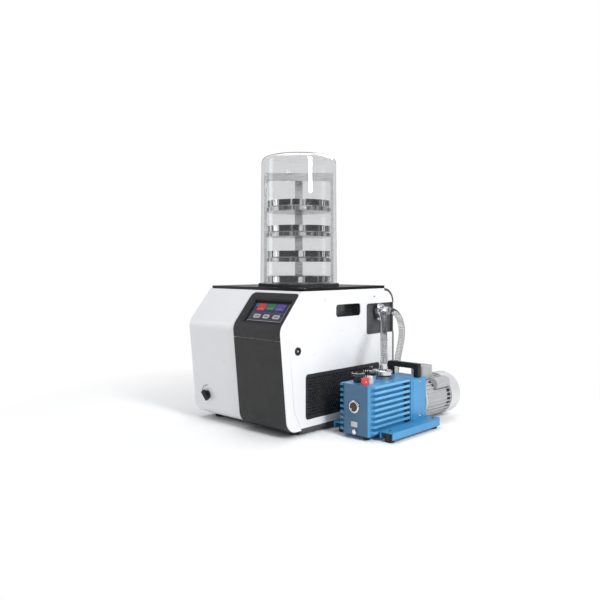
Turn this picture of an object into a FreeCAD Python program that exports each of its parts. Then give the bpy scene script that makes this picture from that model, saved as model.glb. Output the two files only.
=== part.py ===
import FreeCAD, Part
import math
import os
import Sketcher

# Bench freeze dryer: a sheet-metal cabinet with a cold trap and a clear bell jar on its top plate, and a
# rotary-vane vacuum pump that stands beside it and is joined to it by a clear hose. Millimetres, +Z up.
# The model is laid out about the cabinet: x = 0 is its middle, y = 0 is half way between its nose and its
# back, the front faces -Y and the bench is z = 0. Every piece is then moved by (shift_x, shift_y), so that
# the origin lies under the middle of the whole machine.

# ---------------------------------------------------------------- driving dimensions

DIMENSIONS = [
    ("snug", 0.3, "gap between pieces that sit against each other"),
    ("running_gap", 0.1, "radial gap of a shaft in its bearing"),
    ("cabinet_width", 370, "cabinet, side to side"),
    ("cabinet_depth", 480, "cabinet, nose to back"),
    ("cabinet_top", 372, "height of the white shell"),
    ("cabinet_base", 15, "height of the shell's underside"),
    ("slope_rise", 93, "height of the sloping panel, crease to top"),
    ("front_slant", 50, "slope of the control panel, degrees from level"),
    ("front_lean", 5.7, "lean of the lower front, degrees from upright"),
    ("bend_radius", 35, "rounding of the front crease"),
    ("toe_radius", 35, "rounding of the front's bottom edge"),
    ("cheek_lower", 30, "depth of the front cover's cheeks, lower part"),
    ("cheek_upper", 52, "depth of the front cover's cheeks, sloping part"),
    ("shell_wall", 3, "wall of the front cover"),
    ("panel_wall", 2, "wall of the side panels"),
    ("panel_foot", 20, "height of the side panels' lower edge"),
    ("seam_gap", 0.6, "gap at the seam between front cover and side panels"),
    ("rear_wall", 3, "wall of the rear panel"),
    ("rear_round", 45, "rounding at the top of the back"),
    ("rear_rim", 7, "how far the rear panel wraps round the sides"),
    ("pan_bottom", 8, "height of the base pan's underside"),
    ("pan_height", 18, "height of the base pan"),
    ("pan_wall", 2, "wall of the base pan"),
    ("foot_radius", 16, "cabinet foot"),
    ("foot_inset", 35, "cabinet feet, in from the sides and the back"),
    ("foot_setback", 8, "front feet, behind the pan's front edge"),
    ("fascia_left", 10, "left edge of the dark fascia"),
    ("fascia_proud", 2.5, "how far the fascia stands out"),
    ("fascia_run", 112, "length of the fascia up the slope"),
    ("fascia_drop", 28, "seam between upper and lower fascia, below the crease"),
    ("fascia_corner_left", 15, "rounding of the fascia's upper left corner"),
    ("fascia_corner_right", 8, "rounding of the fascia's upper right corner"),
    ("fascia_tuck", 22, "how far the lower fascia runs under the toe"),
    ("screen_left", 32, "screen recess, left edge"),
    ("screen_side", 8, "screen recess, right edge in from the cabinet's side"),
    ("screen_low", 15, "screen recess, lower edge up the slope"),
    ("screen_rise", 76, "screen recess, height up the slope"),
    ("screen_border", 9, "bevelled border round the screen"),
    ("screen_sink", 3.5, "depth of the screen below the shell"),
    ("screen_thick", 9, "thickness of the screen module"),
    ("plate_thick", 8, "black top plate"),
    ("plate_inset", 1, "top plate, inset at the sides"),
    ("plate_round", 6, "top plate, corner radius"),
    ("jar_y", 20, "y of the jar and trap axis"),
    ("jar_radius", 113, "bell jar, outside radius at the rim"),
    ("jar_taper", 3, "bell jar, how much narrower at the top"),
    ("jar_wall", 5, "bell jar wall"),
    ("jar_height", 377, "bell jar, rim to top"),
    ("jar_shoulder", 20, "bell jar, rounding of the top"),
    ("gasket_base", 2.5, "gasket under the jar's rim"),
    ("gasket_height", 7, "gasket, overall height"),
    ("gasket_lip", 6, "gasket, width of the outer lip"),
    ("gasket_inner", 4, "gasket, width inside the jar"),
    ("trap_radius", 95, "cold trap, outside radius"),
    ("trap_wall", 1.5, "cold trap wall"),
    ("trap_depth", 202, "cold trap, depth"),
    ("trap_flange", 10, "cold trap, width of the flange"),
    ("drain_stub_radius", 6, "cold trap, drain stub"),
    ("drain_stub_length", 26, "cold trap, drain stub"),
    ("coil_tube", 4, "evaporator coil, tube radius"),
    ("coil_pitch", 17, "evaporator coil, pitch"),
    ("coil_turns", 5, "evaporator coil, turns"),
    ("foam_wall", 24, "insulation wall"),
    ("foam_floor", 20, "insulation under the trap's floor"),
    ("rack_turn", 43.6, "how far the tray rack is turned about the jar's axis, degrees"),
    ("rack_gap", 1.5, "tray rack, gap between the legs and the jar's narrow end"),
    ("rack_leg", 9, "tray rack, width of a leg"),
    ("rack_sheet", 3, "tray rack, sheet thickness"),
    ("rack_strip", 24, "tray rack, width of the rear strip"),
    ("rack_web", 24, "tray rack, depth of the top web"),
    ("rack_rise", 333, "tray rack, height above the top plate"),
    ("shelf_thick", 11, "shelf plate thickness"),
    ("tray_count", 4, "number of trays"),
    ("tray_spacing", 73.2, "tray to tray"),
    ("tray_lift", 8, "lowest tray's underside above the top plate"),
    ("tray_inset", 3, "tray, in from the edge of its shelf plate"),
    ("tray_height", 20, "tray height"),
    ("tray_wall", 1.2, "tray wall"),
    ("handle_y", 27, "side handle recess, middle"),
    ("handle_drop", 56.5, "side handle recess, middle below the shell's top"),
    ("handle_length", 106, "side handle recess, length"),
    ("handle_height", 34, "side handle recess, height"),
    ("handle_depth", 30, "side handle recess, depth"),
    ("handle_round", 9, "side handle recess, corner radius"),
    ("grille_y", 11, "side grille, middle"),
    ("grille_z", 98, "side grille, middle height"),
    ("grille_length", 317, "side grille, length of the opening"),
    ("grille_height", 118, "side grille, height of the opening"),
    ("grille_round", 10, "side grille, corner radius"),
    ("grille_lap", 5, "side grille, lap behind the panel"),
    ("grille_sheet", 1.5, "side grille, sheet thickness"),
    ("grille_pitch", 9, "side grille, hole pitch"),
    ("grille_hole", 2.7, "side grille, hole radius"),
    ("pocket_length", 132, "valve pocket, length from the back"),
    ("pocket_drop", 42.5, "valve pocket, upper edge below the shell's top"),
    ("pocket_height", 88.5, "valve pocket, height"),
    ("pocket_depth", 7, "valve pocket, depth"),
    ("pocket_wall", 2, "valve pocket liner wall"),
    ("port_setback", 75, "vacuum port, in front of the back"),
    ("port_drop", 63, "vacuum port, below the shell's top"),
    ("port_reach", 5, "vacuum port flange, out from the side panel"),
    ("duct_radius", 9, "vacuum duct, outside radius"),
    ("duct_wall", 1.5, "vacuum duct wall"),
    ("duct_bend", 36, "vacuum duct bend radius"),
    ("port_flange", 14, "flange of the vacuum port, radius"),
    ("inlet_flange", 18, "flange of the pump's inlet, radius"),
    ("flange_thick", 4, "vacuum flange thickness"),
    ("clamp_ring", 4.5, "flange clamp, thickness of the ring round its flange"),
    ("clamp_width", 14, "flange clamp, width"),
    ("hose_radius", 9, "hose, outside radius"),
    ("ferrule_radius", 10.4, "hose ferrule radius"),
    ("ferrule_length", 14, "hose ferrule length"),
    ("tee_reach", 13, "port tee, flange to the crossing of its legs"),
    ("tee_side", 19, "port tee, length of the side leg"),
    ("tee_leg", 28, "port tee, length of the leg to the pump"),
    ("tee_dip", 20, "port tee, slope of the leg to the pump, degrees"),
    ("knob_inset", 61, "drain knob, in from the left side"),
    ("knob_z", 74.5, "drain knob, height"),
    ("knob_radius", 12, "drain knob radius"),
    ("knob_depth", 13, "drain knob, depth"),
    ("knob_grip", 30, "drain knob, length of its grip"),
    ("stem_radius", 4, "drain knob stem radius"),
    ("valve_radius", 12, "drain valve body radius"),
    ("valve_length", 40, "drain valve body length"),
    ("socket_setback", 63.9, "probe socket, behind the crease"),
    ("socket_drop", 59, "probe socket, below the crease"),
    ("socket_radius", 10.5, "probe socket, ring radius"),
    ("compressor_inset", 97, "compressor, axis in from the left side"),
    ("compressor_y", 30, "compressor, y"),
    ("compressor_radius", 58, "compressor radius"),
    ("compressor_height", 122, "compressor height"),
    ("fan_y", 11, "condenser fan axis, y"),
    ("fan_side", 120, "fan frame, side"),
    ("fan_thick", 38, "fan frame, thickness"),
    ("fan_bore", 57, "fan frame, bore radius"),
    ("fan_hub", 21, "fan hub radius"),
    ("fan_blade_reach", 54, "fan blade tip radius"),
    ("condenser_thick", 42, "condenser, thickness"),
    ("condenser_length", 190, "condenser, length"),
    ("condenser_height", 132, "condenser, height"),
    ("mains_inset", 65, "mains inlet, in from the left side"),
    ("mains_z", 80, "mains inlet, height"),
    ("pump_gap", 118, "pump axis, out from the cabinet's side"),
    ("pump_z", 66, "pump axis, height"),
    ("tank_left_reach", 43, "oil tank, left side from the pump axis"),
    ("tank_right_reach", 40, "oil tank, right side from the pump axis"),
    ("tank_front", -88, "oil tank, front"),
    ("tank_back", 88, "oil tank, back flange"),
    ("tank_low", 11, "oil tank, underside"),
    ("tank_high", 138, "oil tank, top"),
    ("tank_wall", 5, "oil tank wall"),
    ("fin_reach", 12, "oil tank fin, depth"),
    ("fin_thick", 6.4, "oil tank fin, thickness"),
    ("fin_pitch", 14.1, "oil tank fin pitch"),
    ("fin_low", 18, "lowest fin, height"),
    ("fin_count", 9, "number of fins"),
    ("bracket_front", 90, "pump bracket, front face"),
    ("bracket_back", 152, "pump bracket, back face"),
    ("bracket_wall", 8, "pump bracket wall"),
    ("rail_reach", 95, "foot rail, outer edge from the pump axis"),
    ("rail_width", 40, "foot rail width"),
    ("rail_low", 9, "foot rail, underside"),
    ("rail_high", 27, "foot rail, top"),
    ("rail_front", -62, "foot rail, front end"),
    ("rail_back", 166, "foot rail, back end"),
    ("rail_wall", 3, "foot rail wall"),
    ("inlet_aside", 6, "pump inlet, left of the pump axis"),
    ("inlet_y", 38, "pump inlet, y"),
    ("inlet_flange_z", 150, "pump inlet flange, underside"),
    ("inlet_neck_z", 178, "pump inlet, height of the neck's top"),
    ("grip_y", 120, "carry handle, y"),
    ("grip_left_reach", 48, "carry handle, left side from the pump axis"),
    ("grip_right_reach", 52, "carry handle, right side from the pump axis"),
    ("grip_top", 174, "carry handle, top"),
    ("grip_bar", 14, "carry handle, bar"),
    ("motor_radius", 51, "motor housing, body radius"),
    ("motor_fin_rise", 6, "motor housing, height of the fins"),
    ("motor_bore", 34, "motor bore radius"),
    ("motor_back", 283, "motor housing, back"),
    ("motor_fin_count", 30, "number of motor fins"),
    ("cowl_rise", 9, "fan cowl, radius beyond the motor housing"),
    ("cowl_front", 275, "fan cowl, front edge"),
    ("cowl_back", 328, "fan cowl, back"),
    ("box_top", 91, "terminal box, top above the pump axis"),
    ("cowl_wall", 1.6, "fan cowl wall"),
]

doc = FreeCAD.newDocument("freeze_dryer")
sheet = doc.addObject("Spreadsheet::Sheet", "dims")


class Size:
    """A length or angle that knows its expression in the sheet and its value."""

    def __init__(self, text, value):
        self.text = text
        self.value = float(value)

    def __add__(self, other):
        return join(self, "+", other, self.value + size(other).value)

    def __radd__(self, other):
        return join(other, "+", self, size(other).value + self.value)

    def __sub__(self, other):
        return join(self, "-", other, self.value - size(other).value)

    def __rsub__(self, other):
        return join(other, "-", self, size(other).value - self.value)

    def __mul__(self, other):
        return join(self, "*", other, self.value * size(other).value)

    def __rmul__(self, other):
        return join(other, "*", self, size(other).value * self.value)

    def __truediv__(self, other):
        return join(self, "/", other, self.value / size(other).value)

    def __neg__(self):
        return Size(f"(0 - {self.text})", -self.value)


def size(amount):
    """A plain number as a Size, or the Size itself."""
    if isinstance(amount, Size):
        return amount
    return Size(f"({float(amount)})", amount)


def join(first, sign, second, value):
    """The Size of two amounts with a sign between them."""
    return Size(f"({size(first).text} {sign} {size(second).text})", value)


def sine(angle):
    """Sine of a Size in degrees."""
    return Size(f"sin({angle.text})", math.sin(math.radians(angle.value)))


def cosine(angle):
    """Cosine of a Size in degrees."""
    return Size(f"cos({angle.text})", math.cos(math.radians(angle.value)))


def larger(first, second):
    """The larger of two Sizes."""
    return Size(f"max({first.text}; {second.text})", max(first.value, second.value))


def mm(amount):
    """The plain value of a Size."""
    return size(amount).value


class Dimensions:
    """The sheet's cells, each as a Size under its alias."""


d = Dimensions()
for row, (alias, amount, meaning) in enumerate(DIMENSIONS, start=1):
    sheet.set(f"A{row}", meaning)
    sheet.set(f"B{row}", str(amount))
    sheet.setAlias(f"B{row}", alias)
doc.recompute()
for alias, _, _ in DIMENSIONS:
    setattr(d, alias, Size(f"dims.{alias}", sheet.get(alias)))

half_width = d.cabinet_width / 2
rear_y = d.cabinet_depth / 2

# places that follow from the sizes
d.bend_height = d.cabinet_top - d.slope_rise
d.fascia_seam = d.bend_height - d.fascia_drop
d.screen_width = half_width - d.screen_left - d.screen_side
d.foot_reach_x = half_width - d.foot_inset
d.foot_rear_y = rear_y - d.foot_inset
d.handle_z = d.cabinet_top - d.handle_drop
d.pocket_front = rear_y - d.pocket_length
d.pocket_high = d.cabinet_top - d.pocket_drop
d.pocket_low = d.pocket_high - d.pocket_height
d.port_y = rear_y - d.port_setback
d.port_z = d.cabinet_top - d.port_drop
d.knob_x = d.knob_inset - half_width
d.compressor_x = d.compressor_inset - half_width
d.mains_x = d.mains_inset - half_width
d.rack_reach = d.jar_radius - d.jar_taper - d.jar_wall - d.rack_gap
d.shelf_radius = d.rack_reach - d.rack_leg + 0.5
d.tray_radius = d.shelf_radius - d.tray_inset
d.mouth_radius = larger(d.trap_radius, d.shelf_radius) + 2
d.trap_rim = larger(d.trap_radius, d.shelf_radius) + d.trap_flange
d.rack_top = d.cabinet_top + d.plate_thick + d.rack_rise
d.tray_bottom = d.cabinet_top + d.plate_thick + d.tray_lift
d.pump_x = half_width + d.pump_gap
d.tank_left = d.pump_x - d.tank_left_reach
d.tank_right = d.pump_x + d.tank_right_reach
d.inlet_x = d.pump_x - d.inlet_aside
d.grip_left = d.pump_x - d.grip_left_reach
d.grip_right = d.pump_x + d.grip_right_reach
d.motor_fin = d.motor_radius + d.motor_fin_rise
d.cowl_radius = d.motor_radius + d.cowl_rise

rail_right = d.pump_x + d.rail_reach
shift_x = -(rail_right - half_width) / 2
shift_y = -(d.cowl_back - rear_y) / 2

# ---------------------------------------------------------------- helpers

TURNS = {
    "z": FreeCAD.Rotation(),
    "-z": FreeCAD.Rotation(FreeCAD.Vector(1, 0, 0), 180),
    "x": FreeCAD.Rotation(FreeCAD.Vector(0, 1, 0), 90),
    "-x": FreeCAD.Rotation(FreeCAD.Vector(0, 1, 0), -90),
    "y": FreeCAD.Rotation(FreeCAD.Vector(1, 0, 0), -90),
    "-y": FreeCAD.Rotation(FreeCAD.Vector(1, 0, 0), 90),
    "slope": FreeCAD.Rotation(FreeCAD.Vector(1, 0, 0), mm(d.front_slant)),
}
sub_parts = []


def vec(x, y, z=0):
    """A vector from sizes or numbers."""
    return FreeCAD.Vector(mm(x), mm(y), mm(z))


def bind(obj, prop, amount):
    """Ties one of an object's properties to the sheet."""
    obj.setExpression(prop, size(amount).text)


def put(obj, at, axis="z"):
    """Places an object at a point of the cabinet frame, its own Z turned to `axis`."""
    turn = TURNS[axis] if isinstance(axis, str) else axis
    obj.Placement = FreeCAD.Placement(FreeCAD.Vector(), turn)
    for letter, amount, shift in zip("xyz", at, (shift_x, shift_y, 0)):
        bind(obj, f"Placement.Base.{letter}", size(amount) + shift)
    return obj


def keep(obj, name):
    """Makes an object one of the sub-parts, under its own name."""
    obj.Label = name
    sub_parts.append(obj)
    return obj


def rectangle(low_a, high_a, low_b, high_b):
    """A rectangular loop for a sketch."""
    return [(low_a, low_b), (high_a, low_b), (high_a, high_b), (low_a, high_b)]


def turned(loop, angle):
    """A loop turned about the origin, by degrees."""
    across, up = math.cos(math.radians(angle)), math.sin(math.radians(angle))
    return [(a * across - b * up, a * up + b * across) for a, b in loop]


def hexagon(half_corner):
    """A six-sided loop about the origin, from its middle to a corner."""
    return [turned([(half_corner, 0)], angle)[0] for angle in range(0, 360, 60)]


class Disc:
    """A round loop for a sketch."""

    def __init__(self, a, b, radius):
        self.a, self.b, self.radius = a, b, radius


class Piece:
    """A PartDesign body, built feature by feature in its own frame."""

    def __init__(self, name, at=(0, 0, 0), axis="z", kept=True):
        self.name = name
        self.body = doc.addObject("PartDesign::Body", name if kept else name + "_body")
        put(self.body, at, axis)
        if kept:
            keep(self.body, name)

    def origin(self, role):
        """A plane or axis of the body's own origin."""
        return next(f for f in self.body.Origin.OriginFeatures if f.Role == role)

    def sketch(self, plane, loops, at=0):
        """A sketch on an origin plane, `at` along the plane's positive axis, its loops bound to the sheet."""
        drawing = self.body.newObject("Sketcher::SketchObject", self.name + "_sketch")
        drawing.AttachmentSupport = [(self.origin(plane + "_Plane"), "")]
        drawing.MapMode = "FlatFace"
        bind(drawing, "AttachmentOffset.Base.z", -size(at) if plane == "XZ" else at)
        for loop in loops:
            first = drawing.GeometryCount
            if isinstance(loop, Disc):
                circle = Part.Circle(vec(loop.a, loop.b), FreeCAD.Vector(0, 0, 1), mm(loop.radius))
                drawing.addGeometry(circle, False)
                radius = Sketcher.Constraint("Radius", first, mm(loop.radius))
                index = drawing.addConstraint(radius)
                bind(drawing, f"Constraints[{index}]", loop.radius)
                self.pin(drawing, first, 3, loop.a, loop.b)
                continue
            count = len(loop)
            for i in range(count):
                line = Part.LineSegment(vec(*loop[i]), vec(*loop[(i + 1) % count]))
                drawing.addGeometry(line, False)
            for i in range(count):
                joint = Sketcher.Constraint("Coincident", first + i, 2, first + (i + 1) % count, 1)
                drawing.addConstraint(joint)
            for i, (a, b) in enumerate(loop):
                self.pin(drawing, first + i, 1, a, b)
        return drawing

    def pin(self, drawing, geometry, point, a, b):
        """Fixes a point of a sketch at (a, b)."""
        for kind, amount in (("DistanceX", a), ("DistanceY", b)):
            fix = Sketcher.Constraint(kind, -1, 1, geometry, point, mm(amount))
            index = drawing.addConstraint(fix)
            bind(drawing, f"Constraints[{index}]", amount)

    def feature(self, kind, drawing):
        """A feature made from a sketch."""
        made = self.body.newObject("PartDesign::" + kind, f"{self.name}_{kind.lower()}")
        made.Profile = drawing
        self.body.Tip = made
        return made

    def pad(self, plane, loops, low, high):
        """Adds material between two places on the plane's positive axis."""
        made = self.feature("Pad", self.sketch(plane, loops, low))
        bind(made, "Length", size(high) - low)
        made.Reversed = plane == "XZ"
        return made

    def pocket(self, plane, loops, low, high):
        """Cuts between two places on the plane's positive axis."""
        made = self.feature("Pocket", self.sketch(plane, loops, low))
        bind(made, "Length", size(high) - low)
        made.Reversed = plane != "XZ"
        return made

    def revolve(self, profile, kind="Revolution"):
        """Turns a profile of (radius, height) points about the body's Z axis."""
        drawing = self.sketch("XZ", [profile])
        made = self.feature(kind, drawing)
        made.ReferenceAxis = (drawing, ["V_Axis"])
        made.Angle = 360
        return made

    def ease(self, radius, pick, kind="Fillet"):
        """Rounds or bevels the edges that `pick` accepts."""
        doc.recompute()
        base = self.body.Tip
        edges = [f"Edge{i}" for i, edge in enumerate(base.Shape.Edges, start=1) if pick(edge)]
        if not edges:
            raise ValueError(f"{self.name}: no edge to ease")
        made = self.body.newObject("PartDesign::" + kind, f"{self.name}_{kind.lower()}")
        made.Base = (base, edges)
        bind(made, "Radius" if kind == "Fillet" else "Size", radius)
        self.body.Tip = made
        return made

    def hollow(self, wall, pick):
        """Leaves a wall inside the outer faces and opens the faces that `pick` accepts."""
        doc.recompute()
        base = self.body.Tip
        faces = [f"Face{i}" for i, face in enumerate(base.Shape.Faces, start=1) if pick(face)]
        made = self.body.newObject("PartDesign::Thickness", f"{self.name}_shell")
        made.Base = (base, faces)
        bind(made, "Value", wall)
        made.Reversed = True
        made.Join = 1
        self.body.Tip = made
        return made

    def repeat(self, original, count, pitch):
        """Copies a feature upwards."""
        made = self.body.newObject("PartDesign::LinearPattern", self.name + "_row")
        made.Originals = [original]
        made.Direction = (self.origin("Z_Axis"), [""])
        bind(made, "Length", (size(count) - 1) * pitch)
        bind(made, "Occurrences", count)
        self.body.Tip = made
        return made

    def ring(self, original, count):
        """Copies a feature round the body's Z axis."""
        made = self.body.newObject("PartDesign::PolarPattern", self.name + "_ring")
        made.Originals = [original]
        made.Axis = (self.origin("Z_Axis"), [""])
        made.Angle = 360
        bind(made, "Occurrences", count)
        self.body.Tip = made
        return made


def along(axis, a=None, b=None, near=0.6):
    """Picks straight edges that run along an axis, at (a, b) on the other two axes if they are given."""
    order = {"x": (1, 2), "y": (0, 2), "z": (0, 1)}[axis]
    way = {"x": 0, "y": 1, "z": 2}[axis]

    def pick(edge):
        if not isinstance(edge.Curve, Part.Line) or abs(abs(edge.Curve.Direction[way]) - 1) > 1e-6:
            return False
        middle = edge.CenterOfMass
        wanted = [(order[0], a), (order[1], b)]
        return all(w is None or abs(middle[k] - mm(w)) < near for k, w in wanted)

    return pick


def along_any(axis, spots):
    """Picks straight edges along an axis at any of several spots."""
    picks = [along(axis, a, b) for a, b in spots]
    return lambda edge: any(pick(edge) for pick in picks)


def round_edge(radius, height):
    """Picks a circular edge about Z of a given radius and height."""

    def pick(edge):
        curve = edge.Curve
        if not isinstance(curve, Part.Circle) or abs(curve.Radius - mm(radius)) > 0.05:
            return False
        return abs(edge.CenterOfMass.z - mm(height)) < 0.05

    return pick


def box(low, high):
    """A box between two corners."""
    made = doc.addObject("Part::Box", "block")
    for prop, start, end in zip(("Length", "Width", "Height"), low, high):
        bind(made, prop, size(end) - start)
    return put(made, low)


def rod(radius, length, at, axis="z"):
    """A cylinder that starts at a point and runs along an axis."""
    made = doc.addObject("Part::Cylinder", "rod")
    bind(made, "Radius", radius)
    bind(made, "Height", length)
    return put(made, at, axis)


def cut(base, *tools):
    """A body less its tools."""
    made = doc.addObject("Part::Cut", "cut")
    made.Base = base
    made.Tool = tools[0] if len(tools) == 1 else fuse(*tools)
    return made


def fuse(*shapes):
    """Several bodies as one."""
    made = doc.addObject("Part::MultiFuse", "fuse")
    made.Shapes = list(shapes)
    return made


machine_shift = FreeCAD.Placement(vec(shift_x, shift_y), FreeCAD.Rotation())


def made_of(name, shape):
    """A sub-part whose shape is worked out in the cabinet frame."""
    obj = doc.addObject("Part::Feature", name)
    obj.Shape = shape
    obj.Placement = machine_shift.multiply(shape.Placement)
    return keep(obj, name)


def cylinder(radius, start, end):
    """A plain cylinder between two points."""
    way = end - start
    return Part.makeCylinder(mm(radius), way.Length, start, way)


def joined(shapes):
    """Shapes fused to one, with their shared faces merged."""
    return shapes[0].multiFuse(shapes[1:]).removeSplitter()


def routed(points, bend=None):
    """A wire of straight runs joined by tangent arcs, and the arcs' radii.

    Each arc takes 0.45 of the shorter of its two runs, or has the radius `bend`."""
    edges, radii = [], []
    start = points[0]
    for before, corner, after in zip(points, points[1:], points[2:]):
        inward, outward = (corner - before), (after - corner)
        turn = inward.getAngle(outward)
        if bend is None:
            reach = 0.45 * min(inward.Length, outward.Length)
            radius = reach / math.tan(turn / 2)
        else:
            radius = mm(bend)
            reach = radius * math.tan(turn / 2)
        radii.append(radius)
        enter = corner - inward.normalize() * reach
        leave = corner + outward.normalize() * reach
        to_middle = (enter + leave) * 0.5 - corner
        centre = corner + to_middle * ((reach * reach + radius * radius) ** 0.5 / to_middle.Length)
        middle = centre + (corner - centre).normalize() * radius
        edges += [Part.LineSegment(start, enter).toShape(), Part.Arc(enter, middle, leave).toShape()]
        start = leave
    edges.append(Part.LineSegment(start, points[-1]).toShape())
    return Part.Wire(edges), radii


def piped(points, radius, bend=None):
    """A solid rod of round section along a route."""
    wire, radii = routed(points, bend)
    way = points[1] - points[0]
    section = Part.Wire(Part.makeCircle(mm(radius), points[0], way))
    return wire.makePipeShell([section], True, True), wire.Length, radii


# ---------------------------------------------------------------- the cabinet's outline, seen from its side

lean, slant = d.front_lean, d.front_slant
nose_gain = (cosine(lean) + sine(slant)) / (1 + sine(slant - lean)) - 1
bend_y = -(rear_y + d.bend_radius * nose_gain)
lean_run = sine(lean) / cosine(lean)
top_y = bend_y + (d.cabinet_top - d.bend_height) * cosine(slant) / sine(slant)


def front_at(height, out=0):
    """y of the lower front at a height, `out` in front of the shell."""
    return bend_y + (d.bend_height - height) * lean_run - size(out) / cosine(lean)


def on_slope(run, out=0):
    """(y, z) of a point up the sloping front, `out` above it."""
    y = bend_y + run * cosine(slant) - size(out) * sine(slant)
    z = d.bend_height + run * sine(slant) + size(out) * cosine(slant)
    return y, z


def bend_at(out):
    """(y, z) of the front crease, `out` in front of the shell."""
    share = size(out) / (1 + sine(slant - lean))
    y = bend_y - share * (cosine(lean) + sine(slant))
    z = d.bend_height + share * (cosine(slant) - sine(lean))
    return y, z


def toe_at(out):
    """(y, z) of the front's bottom edge, `out` outside the shell."""
    height = d.cabinet_base - out
    return front_at(height, out), height


seam_top = (top_y + d.cheek_upper, d.cabinet_top)
seam_rise = (d.cheek_upper - d.cheek_lower) / (lean_run + cosine(slant) / sine(slant))
seam_mid_z = d.bend_height - seam_rise
seam_mid = (front_at(seam_mid_z) + d.cheek_lower, seam_mid_z)
seam_low_z = d.cabinet_base + 55
seam_low = (front_at(seam_low_z) + d.cheek_lower, seam_low_z)
seam_end = (front_at(d.cabinet_base) + d.cheek_lower + 22, d.cabinet_base)
pan_front = seam_end[0] + d.seam_gap
d.foot_front_y = pan_front + d.foot_setback
d.socket_y = bend_y + d.socket_setback
d.socket_z = d.bend_height - d.socket_drop

# ---------------------------------------------------------------- cabinet shell


def front_cover():
    """White shell: sloping panel, rounded crease, lower front and two cheeks, open at the back."""
    shell = Piece("front_cover", kept=False)
    outline = [(top_y, d.cabinet_top), (bend_y, d.bend_height), toe_at(0)]
    outline += [seam_end, seam_low, seam_mid, seam_top]
    shell.pad("YZ", [outline], -half_width, half_width)
    shell.ease(d.bend_radius, along("x", bend_y, d.bend_height))
    shell.ease(d.toe_radius, along("x", *toe_at(0)))

    def back(face):
        """The faces on the seam, which are left open."""
        spots = (seam_end, seam_low, seam_mid, seam_top)
        near = [min(abs(v.Y - mm(y)) + abs(v.Z - mm(z)) for y, z in spots) for v in face.Vertexes]
        return max(near) < 0.01

    shell.hollow(d.shell_wall, back)
    window = box((0, 0, 0), (d.screen_width, d.screen_rise, 3 * d.shell_wall))
    y, z = on_slope(d.screen_low, -2 * d.shell_wall)
    put(window, (d.screen_left, y, z), "slope")
    stem = rod(d.valve_radius - 3, 60, (d.knob_x, front_at(d.knob_z) - 20, d.knob_z), "y")
    outlet = rod(9, 30, (d.knob_x, valve_back - 8, d.cabinet_base - 10))
    keep(cut(shell.body, window, stem, outlet), "front_cover")


def slope_corner(x):
    """Picks the edge square to the sloping front at the fascia's top, on the side at x."""
    normal = FreeCAD.Vector(0, -math.sin(math.radians(mm(slant))), math.cos(math.radians(mm(slant))))

    def pick(edge):
        upright = isinstance(edge.Curve, Part.Line) and abs(abs(edge.Curve.Direction.dot(normal)) - 1) < 1e-6
        return upright and abs(edge.CenterOfMass.x - mm(x)) < 0.1

    return pick


def upper_fascia():
    """Dark moulding over the right half of the front, from the seam over the crease to near the top."""
    low, out, inn = d.fascia_seam, d.fascia_proud, d.snug
    panel = Piece("upper_fascia", kept=False)
    outline = [(front_at(low, inn), low), bend_at(inn), on_slope(d.fascia_run, inn)]
    outline += [on_slope(d.fascia_run, out), bend_at(out), (front_at(low, out), low)]
    panel.pad("YZ", [outline], d.fascia_left, half_width - 1)
    panel.ease(d.fascia_corner_left, slope_corner(d.fascia_left))
    panel.ease(d.fascia_corner_right, slope_corner(half_width - 1))
    panel.ease(d.bend_radius + out, along("x", *bend_at(out)))
    panel.ease(d.bend_radius + inn, along("x", *bend_at(inn)))
    window = box((0, 0, 0), (d.screen_width, d.screen_rise, 12))
    y, z = on_slope(d.screen_low, -4)
    put(window, (d.screen_left, y, z), "slope")
    keep(cut(panel.body, window), "upper_fascia")


def lower_fascia():
    """Dark moulding below the seam, which follows the lower front and tucks under the toe."""
    high, out, inn = d.fascia_seam - 1.5, d.fascia_proud, d.snug
    tuck_in = toe_at(inn)[0] + d.toe_radius + d.fascia_tuck - 10
    outline = [(front_at(high, inn), high), toe_at(inn), (tuck_in, toe_at(inn)[1])]
    outline += [(tuck_in, toe_at(out)[1]), toe_at(out), (front_at(high, out), high)]
    panel = Piece("lower_fascia")
    panel.pad("YZ", [outline], d.fascia_left, half_width - 1)
    panel.ease(d.toe_radius + out, along("x", *toe_at(out)))
    panel.ease(d.toe_radius + inn, along("x", *toe_at(inn)))


def screen():
    """Bevelled bezel in the fascia's window, and the display module behind it."""
    wide, rise, edge = d.screen_width - 2 * d.snug, d.screen_rise - 2 * d.snug, d.screen_border
    floor = -d.screen_sink
    y, z = on_slope(d.screen_low + d.snug)
    bezel = Piece("screen_bezel", (d.screen_left + d.snug, y, z), "slope")
    bezel.pad("XY", [rectangle(0, wide, 0, rise)], floor - 3, d.fascia_proud + 0.4)
    bezel.pocket("XY", [rectangle(4, wide - 4, 4, rise - 4)], floor, d.fascia_proud + 1)
    opening = rectangle(edge, wide - edge, edge, rise - edge)
    bezel.pocket("XY", [opening], floor - 3.5, floor + 1)
    rim = d.fascia_proud + 0.4

    def bevelled(edge_line):
        """The inner rim of the bezel's raised border."""
        middle = edge_line.CenterOfMass
        inside = 3 < middle.x < mm(wide) - 3 and 3 < middle.y < mm(rise) - 3
        return inside and abs(middle.z - mm(rim)) < 0.01

    bezel.ease(3, bevelled, "Chamfer")
    display = Piece("touch_screen", (d.screen_left + d.snug, y, z), "slope")
    back = floor - 3 - d.screen_thick
    display.pad("XY", [rectangle(4, wide - 4, 4, rise - 4)], back, floor - 3)
    gap = edge + d.snug
    display.pad("XY", [rectangle(gap, wide - gap, gap, rise - gap)], floor - 4, floor - 0.8)


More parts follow.
